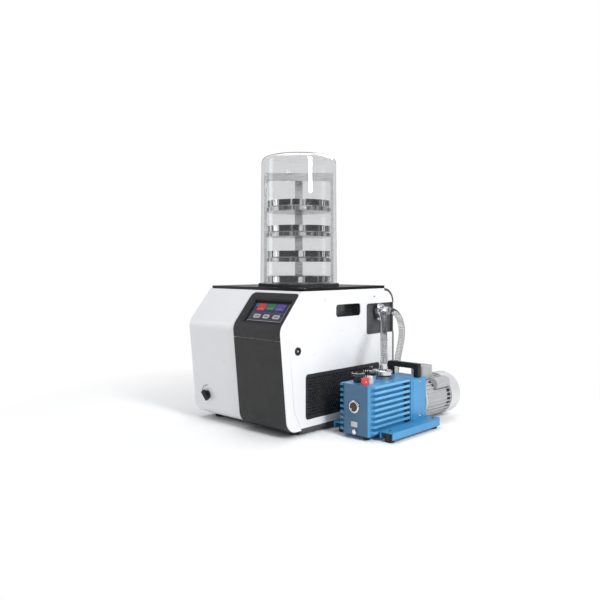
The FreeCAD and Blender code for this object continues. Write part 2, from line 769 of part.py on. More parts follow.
def side_outline():
    """Side panel's edge, behind the front cover's seam."""
    gap = d.seam_gap
    back = rear_y - d.rear_rim - d.snug
    lap_y, lap_z = rear_lap()
    points = [(seam_top[0] + gap, d.cabinet_top), (lap_y, d.cabinet_top), (lap_y, lap_z)]
    points += [(back, lap_z), (back, d.panel_foot)]
    toe_share = (d.panel_foot - seam_end[1]) / (seam_low[1] - seam_end[1])
    foot_y = seam_end[0] + (seam_low[0] - seam_end[0]) * toe_share
    points += [(foot_y + gap, d.panel_foot), (seam_low[0] + gap, seam_low[1])]
    return points + [(seam_mid[0] + gap, seam_mid[1])]


def rear_lap():
    """(y, z) of the step where the rear panel laps over the side panels' top edges."""
    return rear_y - d.rear_round - 2 - d.snug, d.cabinet_top - d.rear_rim - d.snug


def screw_spots():
    """(y, z) of the three screws in each side panel."""
    high = d.cabinet_top - 23.4
    return [(d.handle_y - 100, high), (d.handle_y + 117, high), (rear_y - 35, 217)]


def side_panel(name, side):
    """Flat white side panel with a turned-in top edge, a handle window and a grille window."""
    low, high = half_width - d.panel_wall, half_width
    if side < 0:
        low, high = -high, -low
    panel = Piece(name)
    panel.pad("YZ", [side_outline()], low, high)
    back = rear_y - d.rear_rim - d.snug
    panel.ease(d.rear_round - d.rear_rim - d.snug, along("x", back, rear_lap()[1]))
    lip = (low - 12, low) if side > 0 else (high, high + 12)
    lip_back = rear_lap()[0]
    panel.pad("XY", [rectangle(*lip, seam_top[0] + 3, lip_back)], d.cabinet_top - d.panel_wall, d.cabinet_top)
    grip = recess_loop(d.handle_y, d.handle_z, d.handle_length, d.handle_height)
    air = recess_loop(d.grille_y, d.grille_z, d.grille_length, d.grille_height)
    holes = [Disc(y, z, 2.2) for y, z in screw_spots()]
    if side > 0:
        holes.append(Disc(d.socket_y, d.socket_z, d.socket_radius - 2))
    panel.pocket("YZ", [grip, air] + holes, low - 1, high + 1)
    panel.ease(d.handle_round, along_any("x", grip))
    panel.ease(d.grille_round, along_any("x", air))
    if side > 0:
        notch = rectangle(d.pocket_front, rear_y + 5, d.pocket_low, d.pocket_high)
        panel.pocket("YZ", [notch], low - 1, high + 1)
        panel.ease(d.handle_round, along_any("x", [notch[0], notch[3]]))


def recess_loop(middle_y, middle_z, length, height):
    """A rectangle about a middle, in (y, z)."""
    half_length, half_height = length / 2, height / 2
    low_y, high_y = middle_y - half_length, middle_y + half_length
    return rectangle(low_y, high_y, middle_z - half_height, middle_z + half_height)


def handle_cups():
    """The two moulded cups behind the handle windows, one each side."""
    wall = 2
    cups = []
    for side in (1, -1):
        face = half_width - d.panel_wall - 0.01
        reach = face - d.handle_depth
        near, far = (reach, face) if side > 0 else (-face, -reach)
        cup = Piece("handle_cup", kept=False)
        outer = recess_loop(d.handle_y, d.handle_z, d.handle_length + 2 * wall, d.handle_height + 2 * wall)
        inner = recess_loop(d.handle_y, d.handle_z, d.handle_length, d.handle_height)
        cup.pad("YZ", [outer], near, far)
        span = (near + wall, far + 1) if side > 0 else (near - 1, far - wall)
        cup.pocket("YZ", [inner], *span)
        cup.ease(d.handle_round, along_any("x", inner))
        cup.ease(d.handle_round + wall, along_any("x", outer))
        cups.append(cup.body)
    pair = doc.addObject("Part::Compound", "handle_cups")
    pair.Links = cups
    keep(pair, "handle_cups")


def pocket_liner():
    """Dark liner of the recess for the vacuum port, open to the side."""
    wall = d.pocket_wall
    face = half_width - d.panel_wall - 0.01
    floor = face - d.pocket_depth
    back = rear_y - d.rear_wall - d.snug
    liner = Piece("pocket_liner")
    outer = rectangle(d.pocket_front - wall, back, d.pocket_low - wall, d.pocket_high + wall)
    inner = rectangle(d.pocket_front, back - wall, d.pocket_low, d.pocket_high)
    liner.pad("YZ", [outer], floor - wall, face)
    liner.pocket("YZ", [inner], floor, face + 1)
    liner.ease(d.handle_round, along_any("x", [inner[0], inner[3]]))
    liner.ease(d.handle_round + wall, along_any("x", [outer[0], outer[3]]))
    hole = Disc(d.port_y, d.port_z, d.duct_radius + d.snug)
    liner.pocket("YZ", [hole], floor - wall - 1, floor + 1)


def side_grilles():
    """Two perforated sheets behind the side panels' windows, with staggered round holes."""
    pitch, hole = mm(d.grille_pitch), mm(d.grille_hole)
    length, height = mm(d.grille_length), mm(d.grille_height)
    lap, sheet_wall = mm(d.grille_lap), mm(d.grille_sheet)
    middle = vec(0, d.grille_y, d.grille_z)
    rise = pitch * math.sqrt(3) / 2
    rows = int((height / 2 - pitch) / rise)
    columns = int((length / 2 - pitch) / pitch)
    inner = mm(half_width - d.panel_wall) - sheet_wall - 0.01
    reach, rise_half = length / 2 + lap, height / 2 + lap
    corners = rectangle(-reach, reach, -rise_half, rise_half)
    corners = [middle + FreeCAD.Vector(inner, y, z) for y, z in corners + corners[:1]]
    wires = [Part.makePolygon(corners)]
    for row in range(-rows, rows + 1):
        offset = pitch / 2 if row % 2 else 0
        for column in range(-columns, columns + 1 - (row % 2)):
            spot = middle + FreeCAD.Vector(inner, column * pitch + offset, row * rise)
            wires.append(Part.Wire(Part.makeCircle(hole, spot, FreeCAD.Vector(1, 0, 0))))
    right = Part.Face(wires, "Part::FaceMakerBullseye").extrude(FreeCAD.Vector(sheet_wall, 0, 0))
    left = right.mirror(FreeCAD.Vector(), FreeCAD.Vector(1, 0, 0))
    made_of("side_grilles", Part.makeCompound([right, left]))


def rear_panel():
    """Dark sheet up the back and over its rounded top, its rims wrapped round to the sides."""
    wall, rim = d.rear_wall, d.rear_rim
    end = rear_y - d.rear_round - 2
    top, foot = d.cabinet_top, d.pan_bottom + 3
    inner_side = half_width - d.panel_wall
    panel = Piece("rear_panel")
    for thick, low, high in ((wall, -half_width, half_width), (rim, -half_width, -inner_side),
                             (rim, inner_side, half_width)):
        outline = [(rear_y, foot), (rear_y, top), (end, top), (end, top - thick)]
        outline += [(rear_y - thick, top - thick), (rear_y - thick, foot)]
        panel.pad("YZ", [outline], low, high)
    panel.ease(d.rear_round, along("x", rear_y, top))
    panel.ease(d.rear_round - wall, along("x", rear_y - wall, top - wall))
    panel.ease(d.rear_round - rim, along("x", rear_y - rim, top - rim))
    cut_high = rear_y + 1
    notch = rectangle(inner_side, half_width + 1, d.pocket_low, d.pocket_high)
    panel.pocket("XZ", [notch], rear_y - rim - 1, cut_high)
    slots = [rectangle(-20, 110, 60 + 16 * i, 66 + 16 * i) for i in range(8)]
    mains = rectangle(d.mains_x - 14, d.mains_x + 14, d.mains_z - 24, d.mains_z + 24)
    screws = [Disc(x, z, 2.2) for x, z in rear_screw_spots()]
    panel.pocket("XZ", slots + [mains] + screws, rear_y - wall - 1, cut_high)


def rear_screw_spots():
    """(x, z) of the rear panel's screws."""
    high = d.cabinet_top - 57
    return [(x, z) for x in (-half_width + 12, half_width - 12) for z in (40, 215)] + [(0, 30), (0, high)]


def base_pan():
    """Folded pan that carries everything in the cabinet."""
    wall = d.pan_wall
    side = half_width - d.panel_wall - d.snug
    back = rear_y - d.rear_wall - d.snug
    high = d.pan_bottom + d.pan_height
    pan = Piece("base_pan")
    pan.pad("XY", [rectangle(-side, side, pan_front, back)], d.pan_bottom, high)
    pan.ease(4, along("z"))
    inner = rectangle(-side + wall, side - wall, pan_front + wall, back - wall)
    pan.pocket("XY", [inner], d.pan_bottom + wall, high + 1)
    feet = [Disc(x, y, 3) for x, y in foot_spots()]
    pan.pocket("XY", feet, d.pan_bottom - 1, d.pan_bottom + wall + 1)


def foot_spots():
    """(x, y) of the cabinet's feet."""
    return [(x, y) for x in (-d.foot_reach_x, d.foot_reach_x) for y in (d.foot_front_y, d.foot_rear_y)]


def foot_profile(radius, height, peg):
    """Half section of a rubber foot with a peg that goes through its panel."""
    cone = radius - 2
    return [(0, 0), (cone, 0), (radius, height), (peg, height), (peg, height + 4), (0, height + 4)]


def feet(name, spots, radius, height, peg):
    """Rubber feet under a panel."""
    made = []
    for x, y in spots:
        foot = Piece("foot", (x, y, 0), kept=False)
        foot.revolve(foot_profile(radius, height, peg))
        made.append(foot.body)
    group = doc.addObject("Part::Compound", name)
    group.Links = made
    keep(group, name)


def top_plate():
    """Black glossy plate on the cabinet, with the trap's mouth."""
    reach = half_width - d.plate_inset
    low, high = d.cabinet_top + 0.02, d.cabinet_top + d.plate_thick
    plate = Piece("top_plate")
    corners = rectangle(-reach, reach, top_y + 3, rear_y - d.rear_round + 4)
    plate.pad("XY", [corners, Disc(0, d.jar_y, d.mouth_radius)], low, high)
    plate.ease(d.plate_round, along_any("z", corners))


# ---------------------------------------------------------------- drying chamber and cold trap

plate_top = d.cabinet_top + d.plate_thick
trap_top = d.cabinet_top - d.snug
trap_floor = trap_top - d.trap_depth
coil_radius = d.trap_radius + d.coil_tube + d.snug
foam_bore = coil_radius + d.coil_tube + 0.6
foam_radius = foam_bore + d.foam_wall
foam_low = trap_floor - d.snug - d.foam_floor
valve_front = front_at(d.knob_z) + d.shell_wall
valve_back = valve_front + d.valve_length


def duct_route():
    """Points of the vacuum duct: out of the trap, round one bend and out through the side pocket."""
    out = 60
    start = vec(0, d.jar_y, d.port_z)
    way = FreeCAD.Vector(math.cos(math.radians(out)), math.sin(math.radians(out)), 0)
    first = start + way * (mm(d.trap_radius) - 0.6)
    run = (mm(d.port_y) - first.y) / way.y
    corner = first + way * run
    end = vec(half_width + d.port_reach, d.port_y, d.port_z)
    return first, corner, end


def cold_trap():
    """Stainless bucket with a flange at the top, a hole for the duct and a drain stub in its floor."""
    outer, wall, top = d.trap_radius, d.trap_wall, trap_top
    profile = [(d.drain_stub_radius - 1.5, trap_floor - d.drain_stub_length)]
    profile += [(d.drain_stub_radius, trap_floor - d.drain_stub_length), (d.drain_stub_radius, trap_floor)]
    profile += [(outer, trap_floor), (outer, top - wall), (d.trap_rim, top - wall)]
    profile += [(d.trap_rim, top), (outer - wall, top), (outer - wall, trap_floor + wall)]
    profile += [(d.drain_stub_radius - 1.5, trap_floor + wall)]
    bucket = Piece("cold_trap", (0, d.jar_y, 0), kept=False)
    bucket.revolve(profile)
    bucket.ease(8, round_edge(outer, trap_floor))
    bucket.ease(6.5, round_edge(outer - wall, trap_floor + wall))
    first, corner, _ = duct_route()
    way = (corner - first).normalize()
    port = doc.addObject("Part::Feature", "trap_port")
    port.Shape = cylinder(d.duct_radius + 0.15, first - way * 12, first + way * 20)
    port.Placement = machine_shift
    keep(cut(bucket.body, port), "cold_trap")


def evaporator_coil():
    """Rings of copper tube round the lower part of the trap, joined by an upright tube."""
    radius, tube, pitch = mm(coil_radius), mm(d.coil_tube), mm(d.coil_pitch)
    low = vec(0, d.jar_y, trap_floor + 12)
    turns = int(mm(d.coil_turns))
    rings = [Part.makeTorus(radius, tube, low + FreeCAD.Vector(0, 0, i * pitch)) for i in range(turns)]
    foot = low + FreeCAD.Vector(-radius, 0, 0)
    header = cylinder(tube - 0.5, foot, foot + FreeCAD.Vector(0, 0, (turns - 1) * pitch))
    made_of("evaporator_coil", joined(rings + [header]))


def trap_insulation():
    """Foamed cup round the trap and its coil, bored for the duct and the drain."""
    floor_top = trap_floor - d.snug
    high = trap_top - d.trap_wall - d.snug
    cup = Piece("trap_insulation", (0, d.jar_y, 0), kept=False)
    profile = [(d.drain_stub_radius + 1, foam_low), (foam_radius, foam_low), (foam_radius, high)]
    profile += [(foam_bore, high), (foam_bore, floor_top), (d.drain_stub_radius + 1, floor_top)]
    cup.revolve(profile)
    cup.ease(6, round_edge(foam_radius, foam_low))
    first, corner, _ = duct_route()
    way = (corner - first).normalize()
    port = doc.addObject("Part::Feature", "foam_port")
    port.Shape = cylinder(d.duct_radius + 0.8, first, first + way * mm(foam_radius - d.trap_radius + 25))
    port.Placement = machine_shift
    keep(cut(cup.body, port), "trap_insulation")


def jar_gasket():
    """Rubber ring on the top plate that holds the jar's rim."""
    low = plate_top + 0.02
    inner, lip = d.jar_radius - d.jar_wall - d.gasket_inner, d.jar_radius + d.snug
    ring = Piece("jar_gasket", (0, d.jar_y, 0))
    base_top, high = low + d.gasket_base, low + d.gasket_height
    profile = [(inner, low), (lip + d.gasket_lip, low), (lip + d.gasket_lip, high - 2)]
    profile += [(lip + d.gasket_lip - 2, high), (lip, high), (lip, base_top), (inner, base_top)]
    ring.revolve(profile)


def bell_jar():
    """Clear jar, slightly tapered, with a rounded shoulder and a nearly flat top."""
    low = plate_top + 0.02 + d.gasket_base + 0.02
    high = low + d.jar_height
    outer, narrow, wall = d.jar_radius, d.jar_radius - d.jar_taper, d.jar_wall
    jar = Piece("bell_jar", (0, d.jar_y, 0))
    profile = [(outer - wall, low), (outer, low), (narrow, high), (0, high), (0, high - wall)]
    profile += [(narrow - wall, high - wall)]
    jar.revolve(profile)
    jar.ease(d.jar_shoulder, round_edge(narrow, high))
    jar.ease(d.jar_shoulder - wall, round_edge(narrow - wall, high - wall))


def shelf_top(level):
    """Height of a shelf plate's top, the lowest being level 0."""
    return d.tray_bottom - d.snug + level * d.tray_spacing


def tray_rack():
    """Welded stainless rack: an arch of flat sheet, a rear strip and the shelf plates."""
    reach, leg, wall = d.rack_reach, d.rack_leg, d.rack_sheet
    foot = plate_top + 0.05
    turn = FreeCAD.Rotation(FreeCAD.Vector(0, 0, 1), mm(d.rack_turn))
    arch = Piece("rack_arch", (0, d.jar_y, 0), turn, kept=False)
    outline = rectangle(-reach, reach, foot, d.rack_top)
    opening = rectangle(-reach + leg, reach - leg, foot - 1, d.rack_top - d.rack_web)
    arch.pad("XZ", [outline], -wall / 2, wall / 2)
    arch.pocket("XZ", [opening], -wall, wall)
    arch.ease(14, along_any("y", opening[2:]))
    arch.ease(6, along_any("y", outline[2:]))
    strip_y, half = rack_reach_at_back(), d.rack_strip / 2
    arch.pad("YZ", [rectangle(strip_y - wall, strip_y, foot, d.rack_top)], -half, half)
    arch.pad("YZ", [rectangle(0, strip_y, d.rack_top - wall, d.rack_top)], -half, half)
    plates = []
    for level in range(int(mm(d.tray_count))):
        top = shelf_top(level)
        plates.append(rod(d.shelf_radius, d.shelf_thick, (0, d.jar_y, top - d.shelf_thick)))
    keep(fuse(arch.body, *plates), "tray_rack")


def rack_reach_at_back():
    """Outer face of the rack's rear strip from the jar's axis."""
    return d.shelf_radius + d.rack_sheet - 0.5


def trays():
    """Round sample trays with a rolled rim, each on its shelf plate."""
    outer, wall, height = d.tray_radius, d.tray_wall, d.tray_height
    for level in range(int(mm(d.tray_count))):
        tray = Piece(f"tray_{level + 1}", (0, d.jar_y, d.tray_bottom + level * d.tray_spacing))
        profile = [(0, 0), (outer - 3, 0), (outer, 3), (outer, height - 2), (outer + 1.6, height - 2)]
        profile += [(outer + 1.6, height), (outer - wall, height), (outer - wall, 3.5)]
        profile += [(outer - 3.6, wall), (0, wall)]
        tray.revolve(profile)


# ---------------------------------------------------------------- refrigeration and electrics

pan_floor = d.pan_bottom + d.pan_wall


def compressor():
    """Hermetic compressor: a welded steel pot on a foot plate."""
    pot = Piece("compressor", (d.compressor_x, d.compressor_y, pan_floor + 0.02))
    radius, high = d.compressor_radius, d.compressor_height
    middle = high * 0.52
    profile = [(0, 4), (radius - 3, 4), (radius - 3, middle - 4), (radius, middle - 4), (radius, middle)]
    profile += [(radius - 3, middle), (radius - 3, high), (0, high)]
    pot.revolve(profile)
    pot.ease(26, round_edge(radius - 3, high))
    plate = rectangle(-radius - 14, radius + 14, -radius + 6, radius - 6)
    pot.pad("XY", [plate], 0, 4.5)
    pot.ease(12, along_any("z", plate))
    bolts = [Disc(x, y, 4) for x in (-radius - 4, radius + 4) for y in (-radius + 16, radius - 16)]
    pot.pad("XY", bolts, 4, 10)


fan_face = half_width - d.panel_wall - 8 - d.condenser_thick - d.fan_thick
condenser_face = fan_face + d.fan_thick + 0.05
fan_z = pan_floor + 0.02 + d.fan_side / 2


def condenser():
    """Finned coil by the side grille: thin plates on rows of tubes, between two end plates."""
    near = mm(condenser_face)
    thick, length, high = mm(d.condenser_thick), mm(d.condenser_length), mm(d.condenser_height)
    start_y, low = mm(d.fan_y) - length / 2, mm(pan_floor) + 0.02
    fins = 27
    pitch = (length - 2) / (fins + 1)
    shapes = []
    for i in range(fins + 2):
        end = i in (0, fins + 1)
        inset = 0 if end else 2
        corner = FreeCAD.Vector(near + inset, start_y + i * pitch, low + inset)
        shapes.append(Part.makeBox(thick - 2 * inset, 2 if end else 0.8, high - 2 * inset, corner))
    for column in (0.3, 0.7):
        for row in range(6):
            spot = FreeCAD.Vector(near + thick * column, start_y, low + high * (row + 0.5) / 6)
            shapes.append(cylinder(4, spot, spot + FreeCAD.Vector(0, length, 0)))
    made_of("condenser", joined(shapes))


def fan_frame():
    """Square axial fan frame with four arms that hold the motor's hub."""
    thick, half = d.fan_thick, d.fan_side / 2
    frame = Piece("fan_frame", (fan_face, d.fan_y, fan_z), "x")
    frame.pad("XY", [rectangle(-half, half, -half, half)], 0, thick)
    frame.ease(8, along("z"))
    frame.pocket("XY", [Disc(0, 0, d.fan_bore)], -1, thick + 1)
    arm = d.fan_bore + 1
    frame.pad("XY", [rectangle(-arm, arm, -3, 3)], 0, 4)
    frame.pad("XY", [rectangle(-3, 3, -arm, arm)], 0, 4)
    frame.pad("XY", [Disc(0, 0, d.fan_hub)], 0, 6)
    frame.pad("XY", [Disc(0, 0, 5)], 5, 20)


def fan_blade():
    """Cup-shaped hub on the frame's spindle, with seven pitched blades."""
    hub, reach, thick = mm(d.fan_hub), mm(d.fan_blade_reach), mm(d.fan_thick)
    low, high = 6.5, thick - 5
    cup = Part.makeCylinder(hub, high - low, FreeCAD.Vector(0, 0, low))
    shaft_hole = Part.makeCylinder(5 + mm(d.running_gap), 20 - low + 0.5, FreeCAD.Vector(0, 0, low - 0.1))
    blades = []
    for i in range(7):
        blade = Part.makeBox(reach - hub + 3, 22, 1.8, FreeCAD.Vector(hub - 3, -11, -0.9))
        blade.rotate(FreeCAD.Vector(), FreeCAD.Vector(1, 0, 0), 35)
        blade.translate(FreeCAD.Vector(0, 0, (low + high) / 2))
        blade.rotate(FreeCAD.Vector(), FreeCAD.Vector(0, 0, 1), i * 360 / 7)
        blades.append(blade)
    tips = Part.makeCylinder(reach, thick, FreeCAD.Vector())
    wheel = cup.multiFuse(blades).common(tips).cut(shaft_hole)
    wheel.Placement = FreeCAD.Placement(vec(fan_face, d.fan_y, fan_z), TURNS["x"])
    made_of("fan_blade", wheel)


def refrigerant_lines():
    """Copper lines: compressor to condenser, condenser to coil, and coil back to compressor."""
    x, y, radius = mm(d.compressor_x), mm(d.compressor_y), mm(d.compressor_radius)
    near = mm(condenser_face) + mm(d.condenser_thick) * 0.3
    front = mm(d.fan_y) - mm(d.condenser_length) / 2
    low, high = mm(pan_floor), mm(foam_low) - 0.02
    step = mm(d.condenser_height) / 6
    discharge = [(x + radius - 2.9, y, low + 40), (x + radius + 14, y, low + 40)]
    discharge += [(x + radius + 14, front - 22, low + 40), (near, front - 22, low + 40)]
    discharge += [(near, front - 22, low + 5.5 * step), (near, front - 0.3, low + 5.5 * step)]
    liquid = [(near, front - 0.3, low + 0.5 * step), (near, front - 16, low + 0.5 * step)]
    liquid += [(20, front - 16, low + 0.5 * step), (20, front - 16, high)]
    suction = [(x, y + radius - 2.9, low + 46), (x, y + radius + 16, low + 46), (x, y + radius + 16, high)]
    shapes = []
    for points, tube in ((discharge, 3.5), (liquid, 3), (suction, 4)):
        shapes.append(piped([FreeCAD.Vector(*point) for point in points], tube, 2 * tube)[0])
    made_of("refrigerant_lines", Part.makeCompound(shapes))


def control_board():
    """Circuit board on the back of the display, with its relays, transformer and capacitors."""
    wide, rise = d.screen_width - 24, d.screen_rise - 20
    back = -d.screen_sink - 3 - d.screen_thick - d.snug
    y, z = on_slope(d.screen_low + 10)
    board = Piece("control_board", (d.screen_left + 12, y, z), "slope")
    board.pad("XY", [rectangle(0, wide, 0, rise)], back - 6, back - 4.4)
    posts = [Disc(x, v, 3) for x in (6, wide - 6) for v in (6, rise - 6)]
    board.pad("XY", posts, back - 5, back)
    board.pad("XY", [rectangle(10, 34, 8, 36)], back - 24, back - 5.9)
    board.pad("XY", [rectangle(42, 58, 10, 30), rectangle(62, 78, 10, 30)], back - 20, back - 5.9)
    board.pad("XY", [Disc(92, 16, 7), Disc(92, 36, 7)], back - 22, back - 5.9)
    board.pad("XY", [rectangle(36, 84, 40, 50)], back - 14, back - 5.9)


def mains_inlet():
    """Mains socket with the switch's housing above it, set in the rear panel."""
    module = Piece("power_inlet", (d.mains_x, rear_y + 0.02, d.mains_z), "y")
    module.pad("XY", [rectangle(-18, 18, -28, 28)], 0, 2.5)
    module.ease(4, along("z"))
    module.pad("XY", [rectangle(-13.6, 13.6, -23.6, 23.6)], -32, 0.5)
    module.pocket("XY", [rectangle(-12, 12, 3, 20)], -17, 3)
    module.pocket("XY", [rectangle(-10.5, 10.5, -20, -5)], -14, 3)
    pins = [rectangle(-8, -6, 8, 12), rectangle(6, 8, 8, 12), rectangle(-1, 1, 12, 16)]
    module.pad("XY", pins, -18, -6)
    module.pad("XY", [rectangle(-10.6, -9, -13.5, -11.5), rectangle(9, 10.6, -13.5, -11.5)], -7, -5)


def power_switch():
    """Rocker of the mains switch, tipped to off about its middle."""
    tip = FreeCAD.Rotation(FreeCAD.Vector(1, 0, 0), -90 + 10)
    rocker = Piece("power_switch", (d.mains_x, rear_y + 2, d.mains_z + 12.5), tip)
    face = [(-6.4, 2), (0, 0.6), (6.4, 2), (6.4, -1), (2.5, -9), (-2.5, -9), (-6.4, -1)]
    rocker.pad("YZ", [face], -8.6, 8.6)


def drain_valve():
    """Ball valve behind the front: its neck fills the front's hole, its outlet leaves through the floor."""
    neck, bore = d.valve_radius - 3.3, d.stem_radius + d.running_gap
    valve = Piece("drain_valve", (d.knob_x, valve_front + 2, d.knob_z), "y", kept=False)
    back = d.valve_length
    valve.pad("XY", [Disc(0, 0, neck)], -d.shell_wall - 2.5, 0)
    valve.pad("XY", [Disc(0, 0, d.valve_radius)], 0, back)
    valve.pocket("XY", [Disc(0, 0, bore)], -d.shell_wall - 4, 12)
    inlet = rod(d.drain_stub_radius, 12, (d.knob_x, valve_front + 2 + back - 1, d.knob_z), "y")
    drop = d.knob_z - d.cabinet_base - 1
    outlet = rod(7, drop, (d.knob_x, valve_front + 2 + back - 12, d.knob_z), "-z")
    bore_out = rod(4.5, drop - 8, (d.knob_x, valve_front + 2 + back - 12, d.knob_z - 12), "-z")
    keep(cut(fuse(valve.body, inlet, outlet), bore_out), "drain_valve")


def drain_knob():
    """Round black knob with a slanting grip across it, on the drain valve's stem."""
    knob = Piece("drain_knob", (d.knob_x, front_at(d.knob_z + d.knob_radius) - d.snug, d.knob_z), "-y")
    disc_depth, half_grip = 5, d.knob_grip / 2
    knob.pad("XY", [Disc(0, 0, d.knob_radius)], 0, disc_depth)
    knob.ease(1.5, round_edge(d.knob_radius, disc_depth))
    grip = turned(rectangle(-half_grip, half_grip, -5.5, 5.5), 135)
    knob.pad("XY", [grip], disc_depth - 1, d.knob_depth)
    knob.pad("XY", [Disc(0, 0, d.stem_radius)], -14, 1)


def drain_line():
    """Hose from the trap's drain stub down and round to the valve."""
    start = vec(0, d.jar_y, trap_floor - d.drain_stub_length - 0.02)
    end = vec(d.knob_x, valve_front + 2 + d.valve_length + 11.02, d.knob_z)
    points = [start, FreeCAD.Vector(start.x, start.y, start.z - 30)]
    points += [FreeCAD.Vector(start.x - 2, start.y - 42, end.z + 4)]
    points += [FreeCAD.Vector(start.x - 30, start.y - 88, end.z - 4)]
    points += [FreeCAD.Vector(end.x + 40, end.y + 62, end.z - 3)]
    points += [FreeCAD.Vector(end.x, end.y + 40, end.z), end]
    tube, length, radii = piped(points, d.drain_stub_radius)
    print("drain line", round(length, 1), [round(r, 1) for r in radii])
    made_of("drain_line", tube)


def probe_socket():
    """Round socket in the right side panel: black ring, metal centre and a body behind the panel."""
    ring, proud = d.socket_radius, 3
    socket = Piece("probe_socket", (half_width + 0.02, d.socket_y, d.socket_z), "x")
    socket.pad("XY", [Disc(0, 0, ring)], 0, proud)
    socket.ease(1, round_edge(ring, proud))
    socket.pad("XY", [Disc(0, 0, ring - 2.3)], -20, 0.5)
    socket.pocket("XY", [Disc(0, 0, ring - 4)], -10, proud + 1)
    socket.pad("XY", [Disc(0, 0, 3.5)], -11, 1.5)
    socket.ease(0.8, round_edge(3.5, 1.5))


bracket_half = 52


def bracket_screw_spots():
    """(y, z) of the screws in each side of the pump's bracket."""
    middle = (d.bracket_front + d.bracket_back) / 2
    return [(middle, d.tank_high - 10), (middle, d.rail_high + 9)]


def case_screws():
    """Button-head screws of the side panels, the rear panel and the pump's bracket."""
    spots = []
    for y, z in screw_spots():
        spots.append(((half_width + 0.01, y, z), "x"))
        spots.append(((-half_width - 0.01, y, z), "-x"))
    spots += [((x, rear_y + 0.01, z), "y") for x, z in rear_screw_spots()]
    for y, z in bracket_screw_spots():
        spots.append(((d.pump_x + bracket_half + 0.01, y, z), "x"))
        spots.append(((d.pump_x - bracket_half - 0.01, y, z), "-x"))
    screws = []
    for at, way in spots:
        screw = Piece("screw", at, way, kept=False)
        screw.revolve([(0, -8), (2, -8), (2, 0), (3.5, 0), (3.1, 1.4), (2, 2), (2, 1.2), (0, 1.2)])
        screws.append(screw.body)
    group = doc.addObject("Part::Compound", "case_screws")
    group.Links = screws
    keep(group, "case_screws")


# ---------------------------------------------------------------- vacuum line


def vacuum_duct():
    """Steel tube from the cold trap to the flange in the side pocket."""
    first, corner, end = duct_route()
    outer = piped([first, corner, end], d.duct_radius, d.duct_bend)[0]
    inner = piped([first, corner, end], d.duct_radius - d.duct_wall, d.duct_bend)[0]
    flange = cylinder(d.port_flange, end - vec(d.flange_thick, 0), end)
    duct = joined([outer, flange]).cut(inner)
    way = (corner - first).normalize()
    trap = cylinder(d.trap_radius - d.trap_wall, vec(0, d.jar_y, trap_floor), vec(0, d.jar_y, trap_top))
    print("duct enters", [round(v, 3) for v in way])
    made_of("vacuum_duct", duct.cut(trap))


def tee_legs():
    """The tee's crossing, and the ends and directions of its side leg and its leg to the pump."""
    crossing = vec(half_width + d.port_reach + 0.02 + d.tee_reach, d.port_y, d.port_z)
    side, down = FreeCAD.Vector(1, 0, 0), vec(d.inlet_x, d.inlet_y) - vec(crossing.x, crossing.y)
    down.z = -down.Length * math.tan(math.radians(mm(d.tee_dip)))
    down.normalize()
    return crossing, crossing + side * mm(d.tee_side), side, crossing + down * mm(d.tee_leg), down


def port_tee():
    """Flanged tee on the vacuum port: one leg for the hose to the pump, one for the vent hose."""
    crossing, side_end, side, down_end, down = tee_legs()
    face = FreeCAD.Vector(mm(half_width + d.port_reach) + 0.02, crossing.y, crossing.z)
    tube, bore = 6.5, 4.5
    shapes = [cylinder(d.port_flange, face, face + vec(d.flange_thick, 0)), cylinder(tube, face, side_end)]
    shapes.append(cylinder(tube + 1.5, crossing - side * 8, crossing + side * 4))
    shapes.append(cylinder(tube - 0.4, crossing, down_end))
    for end, way in ((side_end, side), (down_end, down)):
        shapes.append(cylinder(d.ferrule_radius, end - way * mm(d.ferrule_length), end))
    holes = [cylinder(bore, face - side, side_end + side), cylinder(bore - 0.4, crossing, down_end + down)]
    made_of("port_tee", joined(shapes).cut(joined(holes)))


def clamp(at, axis, turn, flange):
    """Ring over two flanges, with a bolt across its gap and a wing nut."""
    outer, inner, half = flange + d.snug + d.clamp_ring, flange + d.snug, d.clamp_width / 2
    ring = Piece("clamp_ring", at, axis, kept=False)
    profile = [(inner, -half), (outer - 2, -half), (outer, -half + 2), (outer, half - 2)]
    ring.revolve(profile + [(outer - 2, half), (inner, half)])
    tab = rectangle(inner + 1, outer + 12, -7, 7)
    ring.pad("XY", [tab], -half + 2, half - 2)
    ring.pocket("XY", [rectangle(inner - 3, outer + 13, -1.5, 1.5)], -half - 1, half + 1)
    bolt = rectangle(outer + 3.5, outer + 8.5, -14, 24)
    ring.pad("XY", [bolt], -2.5, 2.5)
    ring.pad("XY", [rectangle(outer - 4, outer + 16, 14, 19)], -3.5, 3.5)
    ring.body.Placement.Rotation = ring.body.Placement.Rotation.multiply(
        FreeCAD.Rotation(FreeCAD.Vector(0, 0, 1), turn))
    return ring.body


def vacuum_clamps():
    """The two flange clamps: one in the side pocket, one on the pump's inlet."""
    port = clamp((half_width + d.port_reach, d.port_y, d.port_z), "x", 0, d.port_flange)
    inlet = clamp((d.inlet_x, d.inlet_y, d.inlet_flange_z + d.flange_thick), "z", 180, d.inlet_flange)
    pair = doc.addObject("Part::Compound", "vacuum_clamps")
    pair.Links = [port, inlet]
    keep(pair, "vacuum_clamps")


VACUUM_ROUTE = [(230.41, 127.99, 292.24), (246.13, 106.74, 281.83), (262.12, 85.14, 269.87),
                (276.24, 66.06, 256.16), (284.99, 54.23, 243.37), (291.32, 45.67, 228.71),
                (295.36, 40.21, 211.92), (297, 38, 194.52)]
VENT_ROUTE = [(236, 165, 309), (250, 166.2, 299.5), (259, 168.3, 282.5), (262.5, 171.5, 260),
              (259, 175.5, 234.5), (250.5, 179.8, 207), (240, 184, 176), (231, 188, 142),
              (224.5, 191.2, 106), (220.5, 193.6, 69), (218.8, 195, 32)]


